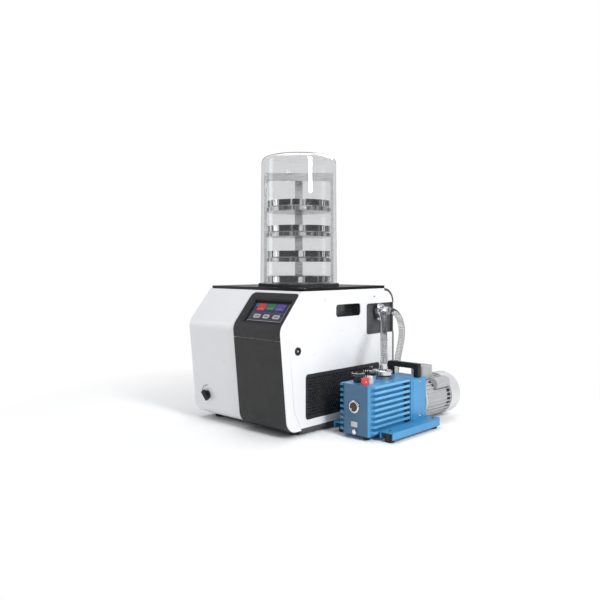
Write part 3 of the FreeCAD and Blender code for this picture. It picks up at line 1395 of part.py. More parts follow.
def hose(name, points):
    """A clear reinforced hose through its points, with its length, bends and volume reported."""
    made, length, radii = piped(points, d.hose_radius)
    section = math.pi * mm(d.hose_radius) ** 2
    print(name, round(length, 1), "radii", [round(r, 1) for r in radii],
          "volume / section x length", round(made.Volume / section / length, 4))
    print(name, "points", [tuple(round(v, 2) for v in point) for point in points])
    made_of(name, made)


def vacuum_hose():
    """Hose from the port tee down to the neck on the pump's inlet."""
    _, _, _, start, way = tee_legs()
    end = vec(d.inlet_x, d.inlet_y, d.inlet_neck_z + 0.02)
    hose("vacuum_hose", [start + way * 0.02] + [FreeCAD.Vector(*point) for point in VACUUM_ROUTE] + [end])


def vent_hose():
    """Hose from the tee's side leg that hangs down behind the pump, open at its end."""
    _, start, way, _, _ = tee_legs()
    hose("vent_hose", [start + way * 0.02] + [FreeCAD.Vector(*point) for point in VENT_ROUTE])


def inlet_neck():
    """Flanged neck on the pump's inlet, with a ferrule for the hose."""
    low = d.inlet_flange_z + d.flange_thick + 0.02
    neck = Piece("inlet_neck", (d.inlet_x, d.inlet_y, 0))
    bore, tube, high = 5.5, 8, d.inlet_neck_z
    profile = [(bore, low), (d.inlet_flange, low), (d.inlet_flange, low + d.flange_thick)]
    profile += [(tube, low + d.flange_thick), (tube, high - d.ferrule_length)]
    profile += [(d.ferrule_radius, high - d.ferrule_length), (d.ferrule_radius, high), (bore, high)]
    neck.revolve(profile)


# ---------------------------------------------------------------- vacuum pump

tank_mid = (d.tank_left + d.tank_right) / 2
glass_x = tank_mid - 2.5
port_holes = {"inlet": (d.inlet_x, d.inlet_y, 13), "exhaust": (d.pump_x - 21, -53, 9),
              "filler": (d.pump_x + 18, -74, 7), "ballast": (d.pump_x + 10, -43, 6)}


def tank_feet_spots():
    """(x, y) of the foot under the oil tank's front."""
    return [(d.pump_x + 19, d.tank_front + 20)]


def oil_tank():
    """Cast oil tank with cooling fins along its sides, open at the back, where it bolts to the bracket."""
    wall, low, high = d.tank_wall, d.tank_low, d.tank_high
    left, right, front, back = d.tank_left, d.tank_right, d.tank_front, d.tank_back
    tank = Piece("oil_tank")
    body = rectangle(left, right, front, back)
    tank.pad("XY", [body], low, high)
    tank.ease(6, along_any("z", body[:2]))
    flange = rectangle(d.pump_x - 51, d.pump_x + 52, low, high)
    tank.pad("XZ", [flange], back - 8, back)
    inner = rectangle(left + wall, right - wall, low + wall, high - wall)
    tank.pocket("XZ", [inner], front + wall, back + 1)
    slope, end = 10, back - 7
    start, near = front + 6, front + 1
    far_left, far = left - d.fin_reach + 1, right + d.fin_reach - 3
    fin = [(left + 1, near), (left + 1, end), (far_left, end), (far_left, near + 2)]
    fin_right = [(right - 1, start), (far, start + slope), (far, end), (right - 1, end)]
    rib = tank.pad("XY", [fin, fin_right], d.fin_low, d.fin_low + d.fin_thick)
    tank.repeat(rib, d.fin_count, d.fin_pitch)
    holes = [Disc(x, y, radius) for x, y, radius in port_holes.values()]
    tank.pocket("XY", holes, high - wall - 1, high + 1)
    glass = Disc(glass_x, 82.5, 13)
    plug = Disc(tank_mid, 20, 5)
    tank.pocket("XZ", [glass, plug], front - 1, front + wall + 1)
    pegs = [Disc(x, y, 3.3) for x, y in tank_feet_spots()]
    tank.pocket("XY", pegs, low - 1, low + wall + 1)


def top_fitting(name, hole, profile):
    """A turned fitting in one of the holes in the tank's top."""
    x, y, _ = port_holes[hole]
    fitting = Piece(name, (x, y, d.tank_high + 0.02))
    fitting.revolve(profile)
    return fitting


def tank_fittings():
    """Exhaust cap, oil filler plug and gas ballast knob on top; sight glass and drain plug in front."""
    profile = [(0, -7), (8.7, -7), (8.7, 0), (12, 0), (12, 15), (17.5, 19), (17.5, 23), (14, 24)]
    top_fitting("exhaust_cap", "exhaust", profile + [(12, 20), (0, 20)])
    plug = top_fitting("filler_plug", "filler", [(0, -7), (6.7, -7), (6.7, 0), (10, 0), (10, 7), (8, 11), (0, 11)])
    plug.pad("XY", [rectangle(-3.5, 3.5, -8, 8)], 5, 17)
    plug.pad("XY", [Disc(0, -7.5, 5.2), Disc(0, 7.5, 5.2)], 5.5, 18)
    profile = [(0, -8), (5.7, -8), (5.7, 0), (8.3, 0), (8.3, 16), (7, 18), (0, 18)]
    knob = top_fitting("ballast_knob", "ballast", profile)
    knob.pocket("XZ", [rectangle(-1, 1, 16.5, 20)], -10, 10)
    knob.pad("XY", [hexagon(10.5)], 0, 5)
    glass = Piece("sight_glass", (glass_x, d.tank_front - 0.02, 82.5), "-y")
    glass.revolve([(0, -6), (12.7, -6), (12.7, 0), (16, 0), (16, 4), (14, 5.5), (12, 5.5), (12, 3), (0, 3)])
    plug = Piece("drain_plug", (tank_mid, d.tank_front - 0.02, 20), "-y")
    plug.revolve([(0, -6), (4.7, -6), (4.7, 0), (6.4, 0), (6.4, 6), (5.6, 7), (0, 7)])


bore_offset = 5.8
rotor_front, rotor_back = -10, 68


def pump_module():
    """Pump block in the oil: an eccentric bore, a neck up through the tank's top and the inlet flange."""
    module = Piece("pump_module", (d.pump_x, 0, d.pump_z), kept=False)
    module.pad("XY", [rectangle(-28, 28, -20, 88)], -33, 45)
    module.ease(5, along("z"))
    bore = rod(24, rotor_back - rotor_front + 2, (d.pump_x, rotor_front - 1, d.pump_z - bore_offset), "y")
    shaft = rod(7 + d.running_gap, 30, (d.pump_x, rotor_back, d.pump_z), "y")
    neck = rod(12.7, d.inlet_flange_z - d.pump_z - 30, (d.inlet_x, d.inlet_y, d.pump_z + 30))
    base = rod(d.inlet_flange + 3, 5.7, (d.inlet_x, d.inlet_y, d.tank_high + 0.02))
    flange = rod(d.inlet_flange, d.flange_thick, (d.inlet_x, d.inlet_y, d.inlet_flange_z))
    throat = rod(8, 80, (d.inlet_x, d.inlet_y, d.pump_z + 40))
    keep(cut(fuse(module.body, neck, base, flange), bore, shaft, throat), "pump_module")


def pump_rotor():
    """Rotor with its two vanes drawn in, and the shaft that reaches the coupling in the bracket."""
    rotor = Piece("pump_rotor", (d.pump_x, 0, d.pump_z), "y")
    rotor.pad("XY", [Disc(0, 0, 18)], rotor_front, rotor_back)
    slots = [rectangle(-2.5, 2.5, 15, 20), rectangle(-2.5, 2.5, -20, -15)]
    rotor.pocket("XY", slots, rotor_front - 1, rotor_back + 1)
    rotor.pad("XY", [Disc(0, 0, 7)], rotor_back - 1, d.bracket_front + 30)
    rotor.pad("XY", [Disc(0, 0, 20)], d.bracket_front + 13, d.bracket_front + 30)


def rail_outline(side):
    """(low x, high x) of a foot rail."""
    outer = d.pump_x + side * d.rail_reach
    inner = outer - side * d.rail_width
    return (outer, inner) if side < 0 else (inner, outer)


def pump_frame():
    """Cast bracket between pump and motor, on two foot rails joined by a cross plate."""
    left, right = d.pump_x - bracket_half, d.pump_x + bracket_half
    wall, front, back = d.bracket_wall, d.bracket_front, d.bracket_back
    high = d.tank_high - 1
    frame = Piece("pump_frame", kept=False)
    far_left, far_right = rail_outline(-1)[0], rail_outline(1)[1]
    frame.pad("XY", [rectangle(far_left, far_right, front, d.rail_back)], d.rail_low, d.rail_high)
    for side in (-1, 1):
        low_x, high_x = rail_outline(side)
        frame.pad("XY", [rectangle(low_x, high_x, d.rail_front, front + 1)], d.rail_low, d.rail_high)
    frame.pad("XY", [rectangle(left, right, front, back)], d.rail_low, high)
    frame.ease(4, along_any("y", [(left, high), (right, high)]))
    frame.ease(18, along_any("z", [(far_left, d.rail_back), (far_right, d.rail_back)]))
    thin = d.rail_wall
    for side in (-1, 1):
        low_x, high_x = rail_outline(side)
        channel = rectangle(low_x + thin, high_x - thin, d.rail_front - 1, d.rail_back - thin)
        frame.pocket("XY", [channel], d.rail_low - 1, d.rail_high - thin)
    cavity = rectangle(left + wall, right - wall, front + wall, back - wall + 1)
    frame.pocket("XY", [cavity], d.rail_low - 1, high - wall)
    pegs = [Disc(x, y, 3.3) for x, y in rail_feet_spots()]
    frame.pocket("XY", pegs, d.rail_high - thin - 1, d.rail_high + 1)
    shaft = rod(7 + d.running_gap, wall + 4, (d.pump_x, front - 2, d.pump_z), "y")
    spigot = rod(d.motor_radius - 10, wall + 4, (d.pump_x, back - wall - 1, d.pump_z), "y")
    trough = rod(d.motor_fin + 1, d.rail_back - back + 2, (d.pump_x, back, d.pump_z), "y")
    screws = [rod(2.2, 2 * bracket_half + 2, (left - 1, y, z), "x") for y, z in bracket_screw_spots()]
    keep(cut(frame.body, shaft, spigot, trough, *screws), "pump_frame")


def rail_feet_spots():
    """(x, y) of the feet under the rails."""
    middle = d.rail_reach - d.rail_width / 2
    ends = (d.rail_front + 16, d.bracket_back - 4)
    return [(d.pump_x + side * middle, y) for side in (-1, 1) for y in ends]


def pump_feet():
    """Rubber feet of the pump: four in the rails and one under the tank."""
    made = []
    for x, y in rail_feet_spots():
        made.append((x, y, foot_profile(14, d.rail_high - d.rail_wall - 0.02, 3)))
    for x, y in tank_feet_spots():
        made.append((x, y, foot_profile(10, d.tank_low - 0.02, 3)))
    bodies = []
    for x, y, profile in made:
        foot = Piece("foot", (x, y, 0), kept=False)
        foot.revolve(profile)
        bodies.append(foot.body)
    group = doc.addObject("Part::Compound", "pump_feet")
    group.Links = bodies
    keep(group, "pump_feet")


def carry_handle():
    """Square arch of black plastic over the bracket."""
    foot = d.tank_high - 1 + 0.02
    half, bar = 7, d.grip_bar
    handle = Piece("carry_handle", (0, d.grip_y, 0))
    outer = rectangle(d.grip_left, d.grip_right, foot, d.grip_top)
    inner = rectangle(d.grip_left + bar, d.grip_right - bar, foot - 1, d.grip_top - bar)
    handle.pad("XZ", [outer], -half, half)
    handle.pocket("XZ", [inner], -half - 1, half + 1)
    handle.ease(5, along_any("y", outer[2:]))
    handle.ease(4, along_any("y", inner[2:]))


# ---------------------------------------------------------------- motor


def motor_housing():
    """Aluminium motor housing with lengthwise fins, bored for the rotor."""
    front, back = d.bracket_back + 0.02, d.motor_back
    housing = Piece("motor_housing", (d.pump_x, 0, d.pump_z), "y")
    hole = 7 + d.running_gap
    spigot = d.motor_radius - 10.3
    fit = d.cowl_radius - d.cowl_wall - 0.02
    profile = [(hole, front - 6), (spigot, front - 6), (spigot, front), (fit - 4, front)]
    profile += [(fit - 4, front + 10), (d.motor_radius, front + 10), (d.motor_radius, d.cowl_front)]
    profile += [(fit, d.cowl_front), (fit, back), (hole, back), (hole, back - 8)]
    profile += [(d.motor_bore, back - 8), (d.motor_bore, front + 8), (hole, front + 8)]
    housing.revolve(profile)
    fin = rectangle(d.motor_radius - 1, d.motor_fin, -1.2, 1.2)
    rib = housing.pad("XY", [fin], front + 9, d.cowl_front + 1)
    housing.ring(rib, d.motor_fin_count)


def motor_rotor():
    """Motor rotor on its shaft, from the coupling to the cooling fan."""
    rotor = Piece("motor_rotor", (d.pump_x, 0, d.pump_z), "y")
    start = d.bracket_front + 30.02
    body_start, body_end = d.bracket_back + 16, d.motor_back - 16
    air = d.motor_bore - 0.6
    profile = [(0, start), (20, start), (20, start + 14), (7, start + 14), (7, body_start), (air, body_start)]
    profile += [(air, body_end), (7, body_end), (7, d.cowl_back - 23), (0, d.cowl_back - 23)]
    rotor.revolve(profile)


def motor_fan():
    """Plastic cooling fan on the end of the motor shaft."""
    low, high = d.motor_back + 8, d.motor_back + 22
    fan = Piece("motor_fan", (d.pump_x, 0, d.pump_z), "y")
    hub = [(7.02, low), (16, low), (16, low + 3), (48, low + 3), (48, low + 5), (16, low + 5)]
    fan.revolve(hub + [(16, high), (7.02, high)])
    blade = fan.pad("XY", [rectangle(15, 48, -1, 1)], low + 4, high)
    fan.ring(blade, 8)


def fan_cowl():
    """Steel cowl over the motor's fan, with slots in its back."""
    outer, wall = d.cowl_radius, d.cowl_wall
    cowl = Piece("fan_cowl", (d.pump_x, 0, d.pump_z), "y")
    cowl.revolve([(outer - wall, d.cowl_front), (outer, d.cowl_front), (outer, d.cowl_back), (0, d.cowl_back),
                  (0, d.cowl_back - wall), (outer - wall, d.cowl_back - wall)])
    cowl.ease(9, round_edge(outer, d.cowl_back))
    cowl.ease(9 - wall, round_edge(outer - wall, d.cowl_back - wall))
    slots = []
    for i in range(-4, 5):
        reach = math.sqrt(46 ** 2 - (i * 9) ** 2)
        slots.append(rectangle(-reach, reach, i * 9 - 2, i * 9 + 2))
    cowl.pocket("XY", slots, d.cowl_back - wall - 2, d.cowl_back + 1)


def junction_box():
    """Terminal box that sits on the motor's fins."""
    lid = Piece("junction_lid", kept=False)
    outline = rectangle(d.pump_x - 19, d.pump_x + 22.5, 183, 233)
    lid.pad("XY", [outline], d.pump_z + 30, d.pump_z + d.box_top)
    lid.ease(5, along("z"))
    lid.ease(3, lambda edge: abs(edge.CenterOfMass.z - mm(d.pump_z + d.box_top)) < 0.01)
    housing = rod(d.motor_fin + d.snug, 80, (d.pump_x, 180, d.pump_z), "y")
    keep(cut(lid.body, housing), "junction_box")


def capacitor_box():
    """Rounded cover of the starting capacitor, along the motor's upper right side."""
    tin = Piece("capacitor_tin", (d.pump_x + 40, 0, d.pump_z + 40), "y", kept=False)
    tin.pad("XY", [Disc(0, 0, 17)], 204, 272)
    tin.ease(2, round_edge(17, 204))
    tin.ease(5, round_edge(17, 272))
    housing = rod(d.motor_fin + d.snug, 140, (d.pump_x, 165, d.pump_z), "y")
    keep(cut(tin.body, housing), "capacitor_box")


# ---------------------------------------------------------------- the machine

base_pan()
feet("cabinet_feet", foot_spots(), d.foot_radius, d.pan_bottom - 0.02, 2.7)
front_cover()
upper_fascia()
lower_fascia()
screen()
side_panel("left_panel", -1)
side_panel("right_panel", 1)
handle_cups()
pocket_liner()
side_grilles()
rear_panel()
top_plate()
cold_trap()
evaporator_coil()
trap_insulation()
jar_gasket()
bell_jar()
tray_rack()
trays()
compressor()
condenser()
fan_frame()
fan_blade()
refrigerant_lines()
control_board()
mains_inlet()
power_switch()
drain_valve()
drain_knob()
drain_line()
probe_socket()
case_screws()
vacuum_duct()
port_tee()
vacuum_clamps()
inlet_neck()
vacuum_hose()
vent_hose()
oil_tank()
tank_fittings()
pump_module()
pump_rotor()
pump_frame()
pump_feet()
carry_handle()
motor_housing()
motor_rotor()
motor_fan()
fan_cowl()
junction_box()
capacitor_box()

# ---------------------------------------------------------------- check and export

doc.recompute()
faults = [obj.Label for obj in doc.Objects if {"Invalid", "Error"} & set(obj.State)]
faults += [obj.Label for obj in sub_parts if obj.Shape.isNull() or not obj.Shape.isValid()]
if faults:
    raise SystemExit(f"faulty: {faults}")
os.makedirs("parts", exist_ok=True)
for obj in sub_parts:
    obj.Shape.exportStep(f"parts/{obj.Label}.step")
print(len(sub_parts), "sub-parts")
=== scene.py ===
# %% [markdown]
# # A bench freeze dryer, lit in a small studio
#
# The machine is a sheet-metal cabinet with a clear bell jar on its black deck, and a blue rotary-vane
# pump that stands beside it on the bench. Its real shape and every moving part already exist as an exact
# model, which is loaded first and never moved. This script gives that model its looks: light, camera,
# finishes, and the small things that are only looks, such as the picture on the screen and the wire inside
# the hose. Everything is in metres, with the bench at z = 0.

# %% Load the exact model
import bpy
import bmesh
import math
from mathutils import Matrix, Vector


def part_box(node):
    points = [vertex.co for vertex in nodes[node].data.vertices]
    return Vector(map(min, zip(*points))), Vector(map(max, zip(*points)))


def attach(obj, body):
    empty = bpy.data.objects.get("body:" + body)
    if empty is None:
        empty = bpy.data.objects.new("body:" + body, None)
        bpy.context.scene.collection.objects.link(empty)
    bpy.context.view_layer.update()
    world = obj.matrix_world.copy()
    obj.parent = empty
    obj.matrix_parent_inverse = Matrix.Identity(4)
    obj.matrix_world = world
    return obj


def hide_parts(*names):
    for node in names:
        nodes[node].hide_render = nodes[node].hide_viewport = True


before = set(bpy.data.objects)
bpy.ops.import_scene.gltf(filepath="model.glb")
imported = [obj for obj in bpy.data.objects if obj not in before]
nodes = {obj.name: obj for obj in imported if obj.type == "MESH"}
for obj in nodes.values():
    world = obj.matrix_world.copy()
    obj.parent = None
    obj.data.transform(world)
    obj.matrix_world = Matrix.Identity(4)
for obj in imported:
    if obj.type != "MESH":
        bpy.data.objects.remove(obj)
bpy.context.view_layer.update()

scene = bpy.context.scene

# %% [markdown]
# ## Finding places on the machine
#
# The cabinet has its own middle, which isn't the middle of the whole machine, because the pump stands on
# one side only. Most places below are easier to say in the cabinet's own millimetres: x from its middle,
# y from half way between nose and back, z from the bench. One small function turns such a place into a
# point of the scene. The middle is read from the side panels, so it follows the model.

# %% The cabinet's own millimetres
MM = 0.001
CABINET_DEPTH = 480
left_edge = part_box("left_panel")[0][0]
right_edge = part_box("right_panel")[1][0]
back_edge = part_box("rear_panel")[1][1]
MIDDLE = Vector(((left_edge + right_edge) / 2, back_edge - CABINET_DEPTH / 2 * MM, 0))


def at(x, y, z):
    """A place in the cabinet's millimetres as a point of the scene."""
    return MIDDLE + Vector((x, y, z)) * MM


def middle_of(node):
    """The middle of a node's box."""
    low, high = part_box(node)
    return (Vector(low) + Vector(high)) / 2


print("cabinet middle", MIDDLE, "width", round((right_edge - left_edge) / MM, 2))

# %% [markdown]
# ## The camera
#
# The machine is seen from its front right corner, a little above the deck. The camera is held level, so
# that upright edges stay upright, as a product photographer does it: the film is shifted down instead of
# tilting the camera. The lens is a little longer than normal, from about two metres away.

# %% Camera
CAMERA_PLACE = (1338.5, -1380, 439.4)
CAMERA_YAW = 43.6
FILM_WIDTH, LENS = 36, 39.23
FILM_SHIFT = -0.0577

camera_data = bpy.data.cameras.new("studio_camera")
camera_data.sensor_width = FILM_WIDTH
camera_data.lens = LENS
camera_data.shift_y = FILM_SHIFT
camera = bpy.data.objects.new("studio_camera", camera_data)
camera.location = at(*CAMERA_PLACE)
camera.rotation_euler = (math.radians(90), 0, math.radians(CAMERA_YAW))
scene.collection.objects.link(camera)
scene.camera = camera
print("camera", [round(v, 3) for v in camera.location])

# %% [markdown]
# ## The two clear hoses
#
# Both hoses are clear PVC with a steel wire wound inside the wall. One comes from the tee in the cabinet's
# side and goes down to the neck on the pump's inlet. The other leaves the tee sideways and hangs down
# behind the pump as a vent. A real hose has no straight pieces, so each is drawn as one smooth curve: a
# NURBS spline whose control points are the stops on the way. The curve is given a round section with its
# bevel, and a material that lets light through.

# %% The hoses' lines
HOSE_STOPS = {
    "vacuum_hose": [(218.68, 143.83, 299.42), (230.41, 127.99, 292.24), (246.13, 106.74, 281.83),
                    (262.12, 85.14, 269.87), (276.24, 66.06, 256.16), (284.99, 54.23, 243.37),
                    (291.32, 45.67, 228.71), (295.36, 40.21, 211.92), (297, 38, 194.52), (297, 38, 178.02)],
    "vent_hose": [(222.04, 165, 309), (236, 165, 309), (250, 166.2, 299.5), (259, 168.3, 282.5),
                  (262.5, 171.5, 260), (259, 175.5, 234.5), (250.5, 179.8, 207), (240, 184, 176),
                  (231, 188, 142), (224.5, 191.2, 106), (220.5, 193.6, 69), (218.8, 195, 32)],
}
HOSE_DIAMETER = 0.018
STEPS_BETWEEN_STOPS = 12
ROUNDNESS = 8


def smooth_line(name, stops):
    """A curve object with one smooth spline that is steered by the stops."""
    data = bpy.data.curves.new(name, "CURVE")
    data.dimensions = "3D"
    spline = data.splines.new("NURBS")
    spline.points.add(len(stops) - 1)
    for point, stop in zip(spline.points, stops):
        point.co = (*at(*stop), 1)
    spline.order_u = 3
    spline.use_endpoint_u = True
    spline.resolution_u = STEPS_BETWEEN_STOPS
    line = bpy.data.objects.new(name, data)
    scene.collection.objects.link(line)
    return line


def points_along(line):
    """Points on a smooth line, as Blender draws it without a section."""
    depth = line.data.bevel_depth
    line.data.bevel_depth = 0
    thread = bpy.data.meshes.new_from_object(line)
    line.data.bevel_depth = depth
    return [vertex.co.copy() for vertex in thread.vertices]


def length_of(points):
    """Length of a chain of points."""
    return sum((b - a).length for a, b in zip(points, points[1:]))


hoses = {}
for name, stops in HOSE_STOPS.items():
    hose = smooth_line(f"clear_{name}", stops)
    hoses[name] = (hose, points_along(hose))
    hose.data.bevel_depth = HOSE_DIAMETER / 2
    hose.data.bevel_resolution = ROUNDNESS
    hose.data.use_fill_caps = True
    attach(hose, "machine")
    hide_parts(name)
    print(name, "length", round(length_of(hoses[name][1]), 4), "points", len(hoses[name][1]))

# %% [markdown]
# A clear hose with a wound wire looks like fine rings under a smooth skin. The wire is a helix that is
# wrapped round the hose's own line: at each step along the line a point is set out sideways, a little
# further round each time. The directions "sideways" are carried along the line so that they never flip.

# %% The wires in the hoses
WIRE_PITCH = 0.0045
WIRE_OFFSET = 0.0083
WIRE_THICKNESS = 0.0011
WIRE_ROUNDNESS = 1
STEPS_PER_TURN = 10


def helix_round(points, offset, pitch, steps):
    """Points of a helix that is wound round a chain of points."""
    total = length_of(points)
    side = (points[1] - points[0]).orthogonal().normalized()
    count = int(total / pitch * steps)
    wound, walked, index = [], 0.0, 0
    for step in range(count + 1):
        target = total * step / count
        while index < len(points) - 2 and walked + (points[index + 1] - points[index]).length < target:
            walked += (points[index + 1] - points[index]).length
            index += 1
        way = points[index + 1] - points[index]
        share = (target - walked) / way.length
        way.normalize()
        side = (side - way * side.dot(way)).normalized()
        other = way.cross(side)
        angle = 2 * math.pi * step / steps
        centre = points[index].lerp(points[index + 1], min(share, 1))
        wound.append(centre + (side * math.cos(angle) + other * math.sin(angle)) * offset)
    return wound


def tube_along(name, points, radius, sides):
    """A round tube through every one of the points, as a curve object."""
    data = bpy.data.curves.new(name, "CURVE")
    data.dimensions = "3D"
    data.bevel_depth = radius
    data.bevel_resolution = sides
    data.use_fill_caps = True
    spline = data.splines.new("POLY")
    spline.points.add(len(points) - 1)
    for point, place in zip(spline.points, points):
        point.co = (*place, 1)
    tube = bpy.data.objects.new(name, data)
    scene.collection.objects.link(tube)
    return tube


hose_wires = []
for name, (hose, path) in hoses.items():
    wound = helix_round(path, WIRE_OFFSET, WIRE_PITCH, STEPS_PER_TURN)
    wire = tube_along(f"{name}_wire", wound, WIRE_THICKNESS / 2, WIRE_ROUNDNESS)
    wire.parent = hose
    hose_wires.append(wire)
    print(name, "wire turns", round(length_of(path) / WIRE_PITCH))

# %% [markdown]
# ## Finishes
#
# A real surface is never one flat colour: paint has a fine orange peel, moulded plastic has a grain,
# sheet steel is brushed one way, and dust and handling make soft patches. Each finish below is a small
# node tree. They all need the same few things, so these come first: a fresh material, a cloud of noise,
# a way to let noise vary the colour and the roughness, and a fine bump.

# %% Making a finish
def new_finish(name):
    """A fresh material, its node tree and its shader."""
    finish = bpy.data.materials.new(name)
    finish.use_nodes = True
    tree = finish.node_tree
    return finish, tree, tree.nodes["Principled BSDF"]


def add(tree, kind, **settings):
    """A new node with some of its settings."""
    node = tree.nodes.new(kind)
    for key, value in settings.items():
        setattr(node, key, value)
    return node


def cloud(tree, scale, detail=3, stretch=None, roughness=0.5):
    """Soft noise in the object's own metres, `scale` lumps to the metre, drawn out by `stretch`."""
    place = add(tree, "ShaderNodeTexCoord")
    spread = add(tree, "ShaderNodeMapping")
    spread.inputs["Scale"].default_value = stretch or (1, 1, 1)
    tree.links.new(place.outputs["Object"], spread.inputs["Vector"])
    noise = add(tree, "ShaderNodeTexNoise")
    noise.inputs["Scale"].default_value = scale
    noise.inputs["Detail"].default_value = detail
    noise.inputs["Roughness"].default_value = roughness
    tree.links.new(spread.outputs["Vector"], noise.inputs["Vector"])
    return noise.outputs["Fac"]


def between(tree, value, low, high, start=0.3, end=0.7):
    """Maps a noise to a number from low to high."""
    ramp = add(tree, "ShaderNodeMapRange")
    ramp.inputs["From Min"].default_value = start
    ramp.inputs["From Max"].default_value = end
    ramp.inputs["To Min"].default_value = low
    ramp.inputs["To Max"].default_value = high
    tree.links.new(value, ramp.inputs["Value"])
    return ramp.outputs["Result"]


def two_tone(tree, value, dark, light):
    """A colour that goes from dark to light with a value."""
    mix = add(tree, "ShaderNodeMix", data_type="RGBA")
    mix.inputs["A"].default_value = (*dark, 1)
    mix.inputs["B"].default_value = (*light, 1)
    tree.links.new(value, mix.inputs["Factor"])
    return mix.outputs["Result"]


def grained(tree, shader, value, height, strength, softened=0.0):
    """Turns a value into a fine bump, with sharp edges softened by `softened` metres."""
    bump = add(tree, "ShaderNodeBump")
    bump.inputs["Strength"].default_value = strength
    bump.inputs["Distance"].default_value = height
    tree.links.new(value, bump.inputs["Height"])
    if softened:
        edge = add(tree, "ShaderNodeBevel", samples=4)
        edge.inputs["Radius"].default_value = softened
        tree.links.new(edge.outputs["Normal"], bump.inputs["Normal"])
    tree.links.new(bump.outputs["Normal"], shader.inputs["Normal"])


def laid_over(tree, mask, under, over):
    """The colour `over` where the mask is 1, the colour `under` elsewhere."""
    mix = add(tree, "ShaderNodeMix", data_type="RGBA")
    tree.links.new(mask, mix.inputs["Factor"])
    tree.links.new(under, mix.inputs["A"])
    tree.links.new(over, mix.inputs["B"])
    return mix.outputs["Result"]


def shade(colour, factor):
    """A colour made darker or lighter."""
    return tuple(min(1, channel * factor) for channel in colour)


def dress(finish, *names):
    """Gives a finish to nodes of the model."""
    for name in names:
        if not nodes[name].material_slots:
            nodes[name].data.materials.append(finish)
        for place in nodes[name].material_slots:
            place.material = finish


# %% [markdown]
# ### Masks
#
# Many pieces change their look from one place to another: a ring, a groove, an edge. A mask is a number
# that is 1 in that place and 0 elsewhere. It is worked out from where a point lies on the object, so no
# picture has to be wrapped round the piece.

# %% Masks by place
def worked(tree, operation, first, second):
    """One step of arithmetic on two values, each a socket or a plain number."""
    node = add(tree, "ShaderNodeMath", operation=operation)
    for socket, value in zip(node.inputs, (first, second)):
        if isinstance(value, bpy.types.NodeSocket):
            tree.links.new(value, socket)
        else:
            socket.default_value = value
    return node.outputs["Value"]


def both(tree, *masks):
    """1 where every mask is 1."""
    result = masks[0]
    for mask in masks[1:]:
        result = worked(tree, "MULTIPLY", result, mask)
    return result


def inside(tree, value, low, high):
    """1 where a value lies between low and high, 0 elsewhere."""
    return both(tree, worked(tree, "GREATER_THAN", value, low), worked(tree, "LESS_THAN", value, high))


def coordinate(tree, axis, kind="Object"):
    """One of a surface point's coordinates on the object, or of its normal."""
    place = add(tree, "ShaderNodeTexCoord")
    split = add(tree, "ShaderNodeSeparateXYZ")
    tree.links.new(place.outputs[kind], split.inputs["Vector"])
    return split.outputs[axis]


ROUND_X, ROUND_Y, ROUND_Z = (0, 1, 1), (1, 0, 1), (1, 1, 0)


def away_from(tree, middle, flat):
    """Distance of a surface point from a place on the object; a 0 in `flat` leaves that axis out."""
    place = add(tree, "ShaderNodeTexCoord")
    shift = add(tree, "ShaderNodeVectorMath", operation="SUBTRACT")
    squash = add(tree, "ShaderNodeVectorMath", operation="MULTIPLY")
    reach = add(tree, "ShaderNodeVectorMath", operation="LENGTH")
    shift.inputs[1].default_value = middle
    squash.inputs[1].default_value = flat
    tree.links.new(place.outputs["Object"], shift.inputs[0])
    tree.links.new(shift.outputs["Vector"], squash.inputs[0])
    tree.links.new(squash.outputs["Vector"], reach.inputs[0])
    return reach.outputs["Value"]


# %% [markdown]
# ### Powder coat and enamel
#
# The cabinet's steel is powder coated: sprayed dry and baked, which leaves a smooth satin skin with a
# faint orange peel. The pump is painted with a glossy machine enamel over rough castings. Both are a
# plain paint colour with two scales of noise: broad patches that barely change the tone, and a fine peel
# in the bump. A clear coat on top gives the sharp part of the gloss.

# %% Paint
PAINT_PATCHES, PAINT_WEAR = 14, 45


def painted(name, colour, gloss, peel_scale, peel_height, coat=0.0, softened=0.0006, patch=0.05):
    """Paint on metal with orange peel and soft patches."""
    finish, tree, shader = new_finish(name)
    patches = between(tree, cloud(tree, PAINT_PATCHES, 4), 0, 1)
    colours = two_tone(tree, patches, shade(colour, 1 - patch), shade(colour, 1 + patch))
    tree.links.new(colours, shader.inputs["Base Color"])
    rough = between(tree, cloud(tree, PAINT_WEAR, 3), gloss - 0.05, gloss + 0.05)
    tree.links.new(rough, shader.inputs["Roughness"])
    shader.inputs["Coat Weight"].default_value = coat
    shader.inputs["Coat Roughness"].default_value = 0.08
    grained(tree, shader, cloud(tree, peel_scale, 2), peel_height, 0.6, softened)
    return finish


WHITE, DARK_GREY, GRILLE_BLACK = (0.80, 0.805, 0.815), (0.06, 0.06, 0.064), (0.022, 0.022, 0.023)
ENAMEL_BLACK, BLUE = (0.015, 0.015, 0.016), (0.042, 0.255, 0.50)
MACHINE_ENAMEL = {"colour": BLUE, "gloss": 0.38, "peel_scale": 420, "peel_height": 0.00018, "coat": 0.3,
                  "softened": 0.0009, "patch": 0.10}

dress(painted("white_powder_coat", WHITE, 0.32, 900, 0.00002, coat=0.35, patch=0.012),
      "front_cover", "left_panel", "right_panel")
dress(painted("rear_powder_coat", DARK_GREY, 0.5, 700, 0.00008), "rear_panel", "base_pan")
dress(painted("black_grille_paint", GRILLE_BLACK, 0.45, 700, 0.00005, softened=0.0), "side_grilles")
dress(painted("compressor_enamel", ENAMEL_BLACK, 0.25, 300, 0.0001, coat=0.4), "compressor")
dress(painted("pump_enamel", **MACHINE_ENAMEL), "pump_frame")
print("painted pieces dressed")

# %% [markdown]
# The oil tank gets the same enamel with two changes of tone, both painted light. Its front face is a
# duller, darker blue as painted shade, and the tips of the fins are a little paler as a painted highlight.

# %% Enamel on the tank
FIN_TIP = at(352, 0, 0)[0]
PAINTED_FIN_TIP_HIGHLIGHT, PAINTED_FRONT_SHADE = (0.11, 0.38, 0.64), (0.046, 0.135, 0.245)


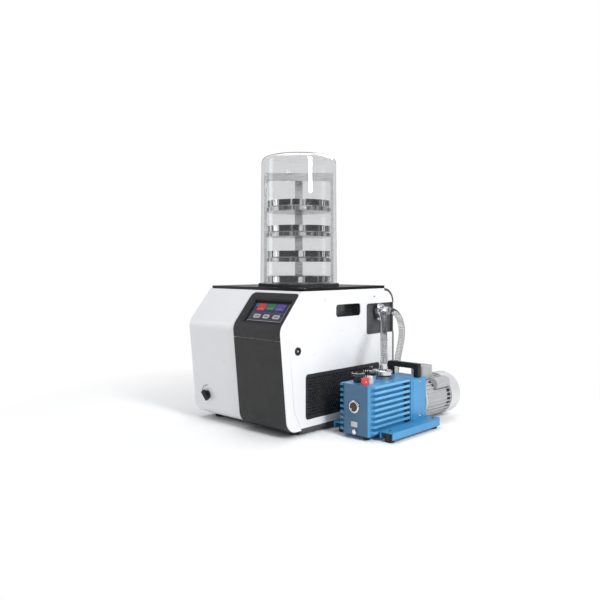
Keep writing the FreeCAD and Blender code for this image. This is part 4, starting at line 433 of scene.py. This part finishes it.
def along(tree, axis, low, high):
    """1 where one of the object's coordinates lies between two values."""
    return inside(tree, coordinate(tree, axis), low, high)


def toned(finish, mask, colour):
    """Gives a finish another colour where the mask is 1."""
    tree = finish.node_tree
    base = tree.nodes["Principled BSDF"].inputs["Base Color"]
    patches = between(tree, cloud(tree, 18, 4), 0, 1)
    other = two_tone(tree, patches, shade(colour, 0.9), shade(colour, 1.1))
    tree.links.new(laid_over(tree, mask, base.links[0].from_socket, other), base)


tank_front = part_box("oil_tank")[0][1]
tank_enamel = painted("tank_enamel", **MACHINE_ENAMEL)
tank_tree = tank_enamel.node_tree
# Painted highlight: the fin tips are painted a paler blue.
toned(tank_enamel, along(tank_tree, "X", FIN_TIP - 0.4 * MM, FIN_TIP + 0.4 * MM), PAINTED_FIN_TIP_HIGHLIGHT)
# Painted shade: the tank's front face is painted a darker, duller blue.
toned(tank_enamel, along(tank_tree, "Y", tank_front - 1 * MM, tank_front + 0.6 * MM), PAINTED_FRONT_SHADE)
dress(tank_enamel, "oil_tank")
print("tank dressed")

# %% [markdown]
# ### Moulded plastics
#
# Moulded parts get their surface from the steel mould, which is etched with a fine leathery grain, or
# left polished where the part should shine. The grain is a cell pattern at half a millimetre. The deck
# plate and the screen are polished, so they only have faint wipe marks in their roughness.

# %% Plastic
def moulded(name, colour, gloss, grain_scale=1600, grain_height=0.00006, softened=0.0005, coat=0.0,
            shine=0.5):
    """Moulded plastic with an etched grain."""
    finish, tree, shader = new_finish(name)
    shader.inputs["Specular IOR Level"].default_value = shine
    patches = between(tree, cloud(tree, 22, 3), 0, 1)
    colours = two_tone(tree, patches, shade(colour, 0.88), shade(colour, 1.12))
    tree.links.new(colours, shader.inputs["Base Color"])
    rough = between(tree, cloud(tree, 60, 4), gloss - 0.06, gloss + 0.06)
    tree.links.new(rough, shader.inputs["Roughness"])
    shader.inputs["Coat Weight"].default_value = coat
    shader.inputs["Coat Roughness"].default_value = 0.05
    cells = add(tree, "ShaderNodeTexVoronoi", feature="SMOOTH_F1")
    place = add(tree, "ShaderNodeTexCoord")
    cells.inputs["Scale"].default_value = grain_scale
    tree.links.new(place.outputs["Object"], cells.inputs["Vector"])
    grained(tree, shader, cells.outputs["Distance"], grain_height, 0.5, softened)
    return finish


MOULDINGS = [
    (moulded("charcoal_moulding", (0.027, 0.027, 0.028), 0.45, shine=0.3), ("upper_fascia", "lower_fascia")),
    (moulded("black_grained_plastic", (0.012, 0.012, 0.013), 0.5, shine=0.3),
     ("screen_bezel", "fan_frame", "fan_blade", "power_inlet", "power_switch", "drain_knob", "carry_handle",
      "motor_fan")),
    (moulded("pocket_moulding", (0.070, 0.070, 0.074), 0.5), ("pocket_liner",)),
    (moulded("polished_deck", (0.008, 0.008, 0.009), 0.14, 200, 0.00001, 0.0008, shine=0.12), ("top_plate",)),
    (moulded("red_moulding", (0.62, 0.03, 0.035), 0.28, 900, 0.00003, coat=0.5), ("filler_plug",)),
    (moulded("circuit_board", (0.02, 0.14, 0.06), 0.35, 400, 0.00004), ("control_board",)),
    (moulded("foamed_insulation", (0.72, 0.62, 0.40), 0.85, 260, 0.0004), ("trap_insulation",)),
    (moulded("black_rubber", (0.018, 0.018, 0.018), 0.7, 1100, 0.00008),
     ("jar_gasket", "cabinet_feet", "pump_feet")),
    (moulded("polished_cup", (0.022, 0.022, 0.024), 0.22, 900, 0.00003, coat=0.5), ("handle_cups",)),
]
for moulding, pieces in MOULDINGS:
    dress(moulding, *pieces)
print("moulded finishes", len(MOULDINGS))

# %% [markdown]
# ### Bare metals
#
# Stainless sheet is brushed: thousands of fine scratches in one direction stretch its highlights across
# them. Noise that is squeezed along one axis and drawn out along the others makes such scratches. Turned
# fittings are polished smoother, cast aluminium is duller, and copper and brass differ in colour.

# %% Metal
LEVEL_BRUSH = (0.03, 0.03, 1)


def bare_metal(name, colour, gloss, stretch=(1, 1, 1), scratch_scale=900, scratch=0.00002):
    """Metal with fine scratches drawn out along the axes where `stretch` is small."""
    finish, tree, shader = new_finish(name)
    shader.inputs["Metallic"].default_value = 1
    scratches = cloud(tree, scratch_scale, 3, stretch)
    tone = between(tree, cloud(tree, 30, 3), 0, 1)
    colours = two_tone(tree, tone, shade(colour, 0.9), shade(colour, 1.08))
    tree.links.new(colours, shader.inputs["Base Color"])
    tree.links.new(between(tree, scratches, gloss - 0.08, gloss + 0.1), shader.inputs["Roughness"])
    grained(tree, shader, scratches, scratch, 0.5, 0.0004)
    return finish


METALS = [
    (bare_metal("brushed_stainless", (0.60, 0.60, 0.61), 0.28, LEVEL_BRUSH),
     ("cold_trap", "vacuum_duct", "pump_rotor", "motor_rotor")),
    (bare_metal("polished_steel", (0.72, 0.72, 0.74), 0.14, scratch=0.00001),
     ("vacuum_clamps", "port_tee", "inlet_neck", "drain_plug", "case_screws")),
    (bare_metal("copper_tube", (0.80, 0.42, 0.28), 0.25), ("evaporator_coil", "refrigerant_lines")),
    (bare_metal("turned_brass", (0.78, 0.60, 0.30), 0.22), ("drain_valve",)),
    (bare_metal("condenser_fins", (0.62, 0.63, 0.64), 0.35), ("condenser",)),
    (bare_metal("cast_iron", (0.30, 0.30, 0.30), 0.55, scratch_scale=260, scratch=0.0003), ("pump_module",)),
]
for metal, pieces in METALS:
    dress(metal, *pieces)
wire_steel = bare_metal("wire_steel", (0.20, 0.20, 0.21), 0.3)
for wire in hose_wires:
    wire.data.materials.append(wire_steel)
print("metal finishes", len(METALS) + 1)

# %% [markdown]
# The trays are spun from mirror sheet, and spinning leaves a wavy wall. What such a wall mirrors is painted
# into its colour as upright streaks of dark and bright: painted reflections, made of noise that is squeezed
# round the wall and drawn out along the height, with a strong contrast. The level faces were pressed flat, so
# they get one even tone.

# %% Mirror trays
STREAKS_PER_METRE = 70
ROUND_THE_WALL = (1, 1, 0.02)
WALL_LIMIT = 0.6


def reflection_streak_noise(tree):
    """Noise in upright streaks."""
    return cloud(tree, STREAKS_PER_METRE, 4, ROUND_THE_WALL, 0.6)


def on_walls(tree):
    """1 on upright faces, 0 on level ones."""
    tilt = worked(tree, "ABSOLUTE", coordinate(tree, "Z", "Normal"), 0)
    return worked(tree, "LESS_THAN", tilt, WALL_LIMIT)


TRAY_PAINTED_DARK_REFLECTION, TRAY_PAINTED_BRIGHT_REFLECTION, TRAY_GLOSS = (0.03, 0.03, 0.032), (0.86, 0.86, 0.87), 0.08
tray_mirror, tray_tree, tray_shader = new_finish("mirror_tray_steel")
tray_shader.inputs["Metallic"].default_value = 1
streak = reflection_streak_noise(tray_tree)
# Painted reflection: the walls' colour runs from near black to near white in upright streaks.
walls = two_tone(tray_tree, between(tray_tree, streak, 0, 1, 0.50, 0.60), TRAY_PAINTED_DARK_REFLECTION, TRAY_PAINTED_BRIGHT_REFLECTION)
level = two_tone(tray_tree, streak, shade(TRAY_PAINTED_BRIGHT_REFLECTION, 0.62), shade(TRAY_PAINTED_BRIGHT_REFLECTION, 0.72))
tray_tree.links.new(laid_over(tray_tree, on_walls(tray_tree), level, walls), tray_shader.inputs["Base Color"])
tray_tree.links.new(between(tray_tree, streak, TRAY_GLOSS, TRAY_GLOSS + 0.1), tray_shader.inputs["Roughness"])
grained(tray_tree, tray_shader, streak, 0.0004, 0.4, 0.0004)
dress(tray_mirror, "tray_1", "tray_2", "tray_3", "tray_4")
print("trays dressed")

# %% [markdown]
# The rack's shelf plates get the same painted reflection streaks as the trays, but its strips are brushed.
# Both belong to one welded piece, so the distance from the rack's middle line tells them apart.

# %% Rack
SHELF_RADIUS, STRIP_FREE = 0.0952, 0.02
LOWEST_SHELF, SHELF_PITCH, SHELF_THICK = 0.3768, 0.0732, 0.0114
RACK_WEB = 0.65


def bands_up(tree, start, pitch, width, top):
    """1 in level bands that repeat up the object as far as `top`, 0 between them."""
    height = coordinate(tree, "Z")
    risen = worked(tree, "FLOORED_MODULO", worked(tree, "SUBTRACT", height, start), pitch)
    return both(tree, worked(tree, "LESS_THAN", risen, width), worked(tree, "LESS_THAN", height, top))


rack_steel = bare_metal("rack_steel", (0.66, 0.66, 0.67), 0.28, LEVEL_BRUSH)
rack_tree = rack_steel.node_tree
rack_base = rack_tree.nodes["Principled BSDF"].inputs["Base Color"]
# Painted reflection: the shelf rims get dark and bright streaks in their colour.
shelf_reflection_tone = between(rack_tree, reflection_streak_noise(rack_tree), 0, 1, 0.42, 0.60)
shelf_painted_reflections = two_tone(rack_tree, shelf_reflection_tone, (0.06, 0.06, 0.065), (0.66, 0.66, 0.67))
jar_axis = (*middle_of("bell_jar").xy, 0)
within_round = inside(rack_tree, away_from(rack_tree, jar_axis, ROUND_Z), STRIP_FREE, SHELF_RADIUS)
at_shelves = bands_up(rack_tree, LOWEST_SHELF, SHELF_PITCH, SHELF_THICK, RACK_WEB)
shelf_rim = both(rack_tree, within_round, at_shelves, on_walls(rack_tree))
rack_tree.links.new(laid_over(rack_tree, shelf_rim, rack_base.links[0].from_socket, shelf_painted_reflections), rack_base)
dress(rack_steel, "tray_rack")
print("rack dressed")

# %% [markdown]
# The motor is silver-painted aluminium. It isn't as mirror-like as bare metal: its paint is a light grey
# with a touch of metal flake, so it is made as paint with a small share of metal in it. The housing's
# grooves are painted dark at their back ends, under the cowl's edge, as painted shade.

# %% Silver paint on the motor
# The darkest colour here is painted shade for the back ends of the housing's grooves.
SILVER, BOX_GREY, MOTOR_GROOVE_SHADE = (0.62, 0.62, 0.63), (0.38, 0.38, 0.385), (0.03, 0.03, 0.032)
SILVER_PAINT = {"gloss": 0.40, "peel_scale": 500, "peel_height": 0.00008, "coat": 0.15, "patch": 0.04}
silver_paint = painted("silver_motor_paint", SILVER, **SILVER_PAINT)
silver_paint.node_tree.nodes["Principled BSDF"].inputs["Metallic"].default_value = 0.25
dress(silver_paint, "fan_cowl", "ballast_knob")
dress(painted("grey_box_paint", BOX_GREY, 0.42, 500, 0.00006, coat=0.1), "junction_box", "capacitor_box")

MOTOR_X, MOTOR_Z = 303, 66
GROOVE_RADIUS = 0.0535
MOTOR_SHADE_FRONT, MOTOR_SHADE_BACK = 264, 284
motor_paint = painted("motor_housing_paint", shade(SILVER, 0.76), **SILVER_PAINT)
motor_tree = motor_paint.node_tree
from_shaft = away_from(motor_tree, at(MOTOR_X, 0, MOTOR_Z), ROUND_Y)
in_groove = inside(motor_tree, from_shaft, -1, GROOVE_RADIUS)
near_cowl = along(motor_tree, "Y", at(0, MOTOR_SHADE_FRONT, 0)[1], at(0, MOTOR_SHADE_BACK, 0)[1])
# Painted shade: the grooves are painted dark where they run under the cowl's edge.
toned(motor_paint, both(motor_tree, in_groove, near_cowl), MOTOR_GROOVE_SHADE)
dress(motor_paint, "motor_housing")
print("motor dressed")

# %% [markdown]
# ### Pieces with two finishes
#
# Some small fittings are one piece with two finishes: the sight glass has a wide bright ring round dark
# oil, the exhaust cap has a worn grey rim round a black mouth, and the probe socket has a bright contact
# in the middle of black plastic. The second finish is where the distance from the piece's middle line
# lies between two radii.

# %% Ringed fittings
EVERYWHERE_OUT = 0.03
BLACK, BRIGHT, WORN, OIL = (0.012, 0.012, 0.013), (0.72, 0.72, 0.74), (0.40, 0.40, 0.41), (0.055, 0.030, 0.018)


def ringed(name, node, flat, radii, plain, ring, gloss):
    """One shader with two looks: (colour, metal) of the plain part, and of the ring between two radii."""
    finish, tree, shader = new_finish(name)
    mask = inside(tree, away_from(tree, middle_of(node), flat), *radii)
    worn = between(tree, cloud(tree, 300, 3), 0, 1)
    looks = [two_tone(tree, worn, shade(colour, 0.88), shade(colour, 1.12)) for colour, _ in (plain, ring)]
    tree.links.new(laid_over(tree, mask, *looks), shader.inputs["Base Color"])
    tree.links.new(between(tree, mask, plain[1], ring[1], 0, 1), shader.inputs["Metallic"])
    tree.links.new(between(tree, worn, gloss - 0.05, gloss + 0.05, 0, 1), shader.inputs["Roughness"])
    grained(tree, shader, worn, 0.00002, 0.4, 0.0004)
    dress(finish, node)


ringed("sight_glass_in_ring", "sight_glass", ROUND_Y, (0.0119, EVERYWHERE_OUT), (OIL, 0), (BRIGHT, 1), 0.18)
ringed("exhaust_cap_worn_rim", "exhaust_cap", ROUND_Z, (0.0142, 0.0172), (BLACK, 0), (WORN, 0.3), 0.4)
ringed("probe_socket_contact", "probe_socket", ROUND_X, (-1, 0.0026), (BLACK, 0), (BRIGHT, 1), 0.3)
print("ringed fittings dressed")

# %% [markdown]
# ### Clear things
#
# The jar is clear cast acrylic and the hoses are soft PVC. Light bends at their walls, so their edges go
# grey while their middles stay clear. They are made with transmission, and a very slight waviness of the
# wall, which gives the reflections their soft breaks.

# %% Clear plastics
def clear(name, colour, ior, rough, wave_scale, wave_height):
    """A see-through material with a faint waviness."""
    finish, tree, shader = new_finish(name)
    shader.inputs["Base Color"].default_value = (*colour, 1)
    shader.inputs["Transmission Weight"].default_value = 1
    shader.inputs["IOR"].default_value = ior
    tree.links.new(between(tree, cloud(tree, 20, 3), rough * 0.5, rough * 1.5), shader.inputs["Roughness"])
    grained(tree, shader, cloud(tree, wave_scale, 2), wave_height, 0.4)
    return finish


ACRYLIC_TINT, PVC_TINT = (0.815, 0.82, 0.825), (0.80, 0.81, 0.81)
ACRYLIC_IOR, PVC_IOR = 1.49, 1.10
soft_pvc = clear("clear_pvc", PVC_TINT, PVC_IOR, 0.10, 160, 0.0004)
dress(clear("clear_acrylic", ACRYLIC_TINT, ACRYLIC_IOR, 0.01, 9, 0.0006), "bell_jar")
dress(soft_pvc, "drain_line")
for hose, _ in hoses.values():
    hose.data.materials.append(soft_pvc)
print("clear pieces dressed")

# %% [markdown]
# ### The screen
#
# The screen is a small colour display behind polished glass. A picture of it would be an image, so its
# few blocks of colour are drawn with numbers instead: each block is a box in the display's own
# coordinates, which run across and up the slope.

# %% Screen glass
GLASS_NAVY = (0.010, 0.018, 0.055)
dress(moulded("screen_glass", GLASS_NAVY, 0.08, 100, 0.000002, 0.0003, coat=0.8), "touch_screen")
print("screen glass dressed")

# %% [markdown]
# The blocks are thin plates, and so are the mark by the drain knob and the blank plate on the pump. A plate
# is an outline that is drawn twice, at its under side and its upper side, and closed round the edge. The
# outline is given in flat numbers, and a function says where each of its points lies on the machine.

# %% Thin plates
def rounded_outline(left, right, low, high, radius, steps=5):
    """Corner points of a rectangle with rounded corners."""
    spots = []
    corners = [(right - radius, high - radius, 0), (left + radius, high - radius, 90),
               (left + radius, low + radius, 180), (right - radius, low + radius, 270)]
    for x, y, start in corners:
        for step in range(steps + 1):
            angle = math.radians(start + 90 * step / steps)
            spots.append((x + radius * math.cos(angle), y + radius * math.sin(angle)))
    return spots


def slab(name, outline, place, low, high, finish):
    """A thin plate with an outline, its points put in the scene by `place(a, b, height)`."""
    maker = bmesh.new()
    under, upper = [[maker.verts.new(place(a, b, height)) for a, b in outline] for height in (low, high)]
    for i in range(len(outline)):
        j = (i + 1) % len(outline)
        maker.faces.new((under[i], under[j], upper[j], upper[i]))
    maker.faces.new(under)
    maker.faces.new(upper)
    bmesh.ops.recalc_face_normals(maker, faces=maker.faces)
    mesh = bpy.data.meshes.new(name)
    maker.to_mesh(mesh)
    maker.free()
    mesh.materials.append(finish)
    plate = bpy.data.objects.new(name, mesh)
    scene.collection.objects.link(plate)
    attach(plate, "machine")


# %% [markdown]
# The pieces of the picture are tiles with rounded corners, an eighth of a millimetre thick, laid on the
# glass. The screen leans back like the panel round it, so the tiles are placed by how far they are from
# the cabinet's middle and how far up the slope. Each gives off a little light of its own.

# %% Tiles on the screen
SLOPE = math.radians(50)
CREASE_Y, CREASE_Z = -241.29, 279
SCREEN_DEPTH = -4.32
TILE_THICK = 0.12


def on_slope(x, up, out):
    """A place on the sloping front: x, the way up the slope, and the height above it."""
    y = CREASE_Y + up * math.cos(SLOPE) - out * math.sin(SLOPE)
    z = CREASE_Z + up * math.sin(SLOPE) + out * math.cos(SLOPE)
    return at(x, y, z)


def lit(name, colour, strength, patch=0.25):
    """A lit patch of a display: mostly its own light, brighter in patches."""
    finish, tree, shader = new_finish(name)
    patches = between(tree, cloud(tree, 160, 3), 0, 1)
    colours = two_tone(tree, patches, shade(colour, 1 - patch), shade(colour, 1 + patch))
    tree.links.new(colours, shader.inputs["Base Color"])
    tree.links.new(colours, shader.inputs["Emission Color"])
    shader.inputs["Emission Strength"].default_value = strength
    tree.links.new(between(tree, cloud(tree, 60, 2), 0.12, 0.2), shader.inputs["Roughness"])
    return finish


def tile(name, left, right, low, high, radius, level, finish):
    """A tile on the screen, `level` tiles up from the glass."""
    base = SCREEN_DEPTH + level * TILE_THICK
    outline = rounded_outline(left, right, low, high, radius)
    slab(f"screen_{name}", outline, on_slope, base, base + TILE_THICK, finish)


# %% [markdown]
# Two dark grounds fill the glass, the lower one greyer. On the upper one lie the coloured fields, each
# with a bar near its foot, and on the lower one three keys. A thin pale glowing line along two edges is a
# painted highlight of the rim.

# %% The picture
GLASS_LEFT, GLASS_RIGHT, GLASS_LOW, GLASS_HIGH = 41.8, 167.2, 24.8, 81.2
GLASS_SPLIT = 54
SHARP = 0.4
tile("upper_ground", GLASS_LEFT, GLASS_RIGHT, GLASS_SPLIT, GLASS_HIGH, SHARP, 0,
     lit("screen_navy_ground", (0.026, 0.028, 0.080), 0.2))
tile("lower_ground", GLASS_LEFT, GLASS_RIGHT, GLASS_LOW, GLASS_SPLIT, SHARP, 0,
     lit("screen_grey_ground", (0.045, 0.045, 0.062), 0.2))

FIELD_TOP = 80.6
FIELDS = [("teal", 44, 52, 70, (0.03, 0.11, 0.11)), ("red", 54, 84, 58, (0.36, 0.04, 0.045)),
          ("green", 87, 119, 61, (0.03, 0.11, 0.06)), ("violet", 122, 155, 60, (0.07, 0.05, 0.20))]
BAR_INSET, BAR_LOW, BAR_HIGH = 4, 3, 6.5
for word, left, right, low, colour in FIELDS:
    tile(f"{word}_field", left, right, low, FIELD_TOP, 2.5, 1, lit(f"screen_{word}", colour, 0.25))
    if word != "teal":
        tile(f"{word}_bar", left + BAR_INSET, right - BAR_INSET, low + BAR_LOW, low + BAR_HIGH, 1.2, 2,
             lit(f"screen_{word}_bar", shade(colour, 1.5), 0.4))

KEYS = [(58, 82), (94, 116), (130, 154)]
KEY_LOW, KEY_HIGH = 34, 46
KEY_RIM, KEY_SIDE = 3, 3.5
key_pale = lit("screen_key_pale", (0.38, 0.38, 0.40), 0.25, 0.1)
key_face = lit("screen_key_face", (0.16, 0.16, 0.18), 0.2, 0.1)
for number, (left, right) in enumerate(KEYS, start=1):
    tile(f"key_{number}", left, right, KEY_LOW, KEY_HIGH, 4, 1, key_pale)
    tile(f"key_{number}_face", left + KEY_SIDE, right - KEY_SIDE, KEY_LOW + KEY_RIM, KEY_HIGH - KEY_RIM, 2.2, 2,
         key_face)

# The last two tiles are a painted highlight: a glowing pale line where the rim of the recess catches light.
RIM_WIDTH, RIM_FOOT, RIM_LEVEL = 1.1, 1.2, 3
painted_rim_highlight = lit("screen_painted_rim_highlight", (0.34, 0.34, 0.35), 0.3, 0.1)
tile("rim_low", GLASS_LEFT, GLASS_RIGHT, GLASS_LOW, GLASS_LOW + RIM_WIDTH, SHARP, RIM_LEVEL, painted_rim_highlight)
tile("rim_right", GLASS_RIGHT - RIM_WIDTH, GLASS_RIGHT, GLASS_LOW + RIM_FOOT, GLASS_HIGH, SHARP, RIM_LEVEL,
     painted_rim_highlight)
print("screen fields", len(FIELDS), "keys", len(KEYS))

# %% [markdown]
# ### The mark round the drain knob
#
# A printed arc shows which way the drain knob turns. It is a flat ribbon a tenth of a millimetre thick on
# the white front, drawn round the knob's own centre. The front leans back a little, so each point of the
# arc is set back by as much as the front is at its height.

# %% Arc by the drain knob
FRONT_LEAN = math.radians(5.7)
KNOB_X, KNOB_Z = -124, 74.5
ARC_RADIUS, ARC_WIDTH, PRINT_THICK = 27, 2.2, 0.12
ARC_START, ARC_END = 160, 84


def on_front(x, height, out):
    """A place on the leaning lower front: x, height from the bench, and how far out."""
    y = CREASE_Y + (CREASE_Z - height) * math.tan(FRONT_LEAN) - out / math.cos(FRONT_LEAN)
    return at(x, y, height)


def arc_band(x, z, radius, width, start, end, steps=24):
    """Outline of a band along an arc round a point."""
    edges = []
    for reach in (radius + width / 2, radius - width / 2):
        turns = [math.radians(start + (end - start) * step / steps) for step in range(steps + 1)]
        edges.append([(x + math.cos(turn) * reach, z + math.sin(turn) * reach) for turn in turns])
    return edges[0] + edges[1][::-1]


print_grey = moulded("grey_print", (0.16, 0.16, 0.17), 0.5, 900, 0.00001, softened=0.0)
arc = arc_band(KNOB_X, KNOB_Z, ARC_RADIUS, ARC_WIDTH, ARC_START, ARC_END)
slab("drain_arc_mark", arc, on_front, 0, PRINT_THICK, print_grey)
print("arc mark laid")

# %% [markdown]
# ### Small things on the pump
#
# A blank plate of bare aluminium is stuck to the tank's front, above the drain plug. At the back end of
# each groove between the fins, a thin dark slab is painted shade, where the groove's end falls into shadow.

# %% Plate and painted groove shade on the pump
TANK_FRONT = -88
PLATE_LEFT, PLATE_RIGHT, PLATE_LOW, PLATE_HIGH, PLATE_THICK = 287.5, 307.5, 31, 44, 0.4
FIN_LOW, FIN_THICK, FIN_PITCH, FIN_COUNT = 18, 6.4, 14.1, 9
SHADE_SLAB_X, SHADE_SLAB_FRONT, SHADE_SLAB_BACK, SHADE_SLAB_THICK = 348.5, 64, 79.5, 1
SHADE_SLAB_ROOM, SHADE_SLAB_CORNER = 0.3, 1.5


def on_tank_front(x, z, out):
    """A place on the tank's front."""
    return at(x, TANK_FRONT - out, z)


def on_fin_side(y, z, out):
    """A place near the tips of the fins on the tank's right side."""
    return at(SHADE_SLAB_X + out, y, z)


plate_metal = bare_metal("blank_plate", (0.60, 0.61, 0.62), 0.4, (1, 1, 0.05), 700)
plate = rounded_outline(PLATE_LEFT, PLATE_RIGHT, PLATE_LOW, PLATE_HIGH, 1)
slab("blank_plate", plate, on_tank_front, 0, PLATE_THICK, plate_metal)
# Painted shade: dark slabs laid at the back ends of the fin grooves, where shadow falls.
groove_shade_finish = moulded("painted_groove_shadow", (0.010, 0.014, 0.030), 0.55, 900, 0.00003, softened=0.0)
for number in range(FIN_COUNT - 1):
    low = FIN_LOW + FIN_THICK + number * FIN_PITCH + SHADE_SLAB_ROOM
    high = FIN_LOW + (number + 1) * FIN_PITCH - SHADE_SLAB_ROOM
    pocket = rounded_outline(SHADE_SLAB_FRONT, SHADE_SLAB_BACK, low, high, SHADE_SLAB_CORNER)
    slab(f"fin_groove_shade_slab_{number + 1}", pocket, on_fin_side, 0, SHADE_SLAB_THICK, groove_shade_finish)
print("plate and fin_groove_shades placed", FIN_COUNT - 1)

# %% [markdown]
# ## Studio
#
# The air is white to the camera, and through the clear pieces. If it lit the machine as strongly, every
# shadow would be gone, so for all other rays it is a dimmer and slightly blue white.

# %% Air
AIR_TINT, AIR_STRENGTH = (0.93, 0.95, 1.0, 1), 0.37
PURE_WHITE = (1, 1, 1, 1)
scene.view_settings.view_transform = "Standard"
world = bpy.data.worlds.new("studio_air")
scene.world = world
world.use_nodes = True
air = world.node_tree
ambient = air.nodes["Background"]
ambient.inputs["Color"].default_value = AIR_TINT
ambient.inputs["Strength"].default_value = AIR_STRENGTH
seen_air = add(air, "ShaderNodeBackground")
seen_air.inputs["Color"].default_value = PURE_WHITE
seen_air.inputs["Strength"].default_value = 1.0
rays = add(air, "ShaderNodeLightPath")
seen = worked(air, "MAXIMUM", rays.outputs["Is Camera Ray"], rays.outputs["Is Transmission Ray"])
blend_air = add(air, "ShaderNodeMixShader")
air.links.new(seen, blend_air.inputs["Fac"])
air.links.new(ambient.outputs["Background"], blend_air.inputs[1])
air.links.new(seen_air.outputs["Background"], blend_air.inputs[2])
air.links.new(blend_air.outputs["Shader"], air.nodes["World Output"].inputs["Surface"])
print("air strength", AIR_STRENGTH)

# %% [markdown]
# The floor is a roll of pale paper. Near the machine it keeps the soft shadow, and further off it fades
# into a white that shines by itself, so that no edge shows where it meets the air.

# %% Floor
FLOOR_HALF, PAPER = 9, (0.96, 0.96, 0.96, 1)
FADE_START, FADE_END = 0.5, 1.1
floor_mesh = bpy.data.meshes.new("floor")
floor_maker = bmesh.new()
bmesh.ops.create_grid(floor_maker, x_segments=1, y_segments=1, size=FLOOR_HALF)
floor_maker.to_mesh(floor_mesh)
floor_maker.free()
floor = bpy.data.objects.new("floor", floor_mesh)
scene.collection.objects.link(floor)
floor_finish, floor_tree, floor_shader = new_finish("floor_paper")
floor_shader.inputs["Base Color"].default_value = PAPER
floor_shader.inputs["Roughness"].default_value = 0.9
paper_white = add(floor_tree, "ShaderNodeEmission")
paper_white.inputs["Color"].default_value = PURE_WHITE
paper_white.inputs["Strength"].default_value = 1.0
far_off = away_from(floor_tree, (0, 0, 0), (1, 1, 1))
paper = add(floor_tree, "ShaderNodeMixShader")
floor_tree.links.new(between(floor_tree, far_off, 0, 1, FADE_START, FADE_END), paper.inputs["Fac"])
floor_tree.links.new(floor_shader.outputs["BSDF"], paper.inputs[1])
floor_tree.links.new(paper_white.outputs["Emission"], paper.inputs[2])
floor_tree.links.new(paper.outputs["Shader"], floor_tree.nodes["Material Output"].inputs["Surface"])
floor.data.materials.append(floor_finish)
print("floor laid")

# %% [markdown]
# Four soft lamps model the shape. The tall key lamp stands on the right and leaves the long streak on the
# jar. A narrow strip on the left lifts the front, a large lamp overhead lights the deck, and one behind
# rims the jar.

# %% Lamps
def soft_lamp(name, place, aim, width, height, power):
    """A rectangular area lamp that looks at a point."""
    data = bpy.data.lights.new(name, "AREA")
    data.shape = "RECTANGLE"
    data.size = width
    data.size_y = height
    data.energy = power
    lamp = bpy.data.objects.new(name, data)
    lamp.location = place
    lamp.rotation_euler = (Vector(aim) - Vector(place)).to_track_quat("-Z", "Y").to_euler()
    scene.collection.objects.link(lamp)


LAMPS = [
    ("key_lamp", (2.4, -0.5, 1.7), (0.05, 0, 0.3), 0.6, 1.6, 62),
    ("strip_lamp", (-1.5, -1.25, 0.9), (-0.1, 0, 0.5), 0.5, 1.5, 4),
    ("top_lamp", (-0.2, -0.2, 2.4), (0, 0, 0.2), 1.6, 1.6, 21),
    ("rear_lamp", (-0.6, 1.9, 2.0), (0, 0, 0.4), 1.2, 1.0, 12),
]
for name, place, aim, width, height, power in LAMPS:
    soft_lamp(name, place, aim, width, height, power)
    print(name, power, "W")
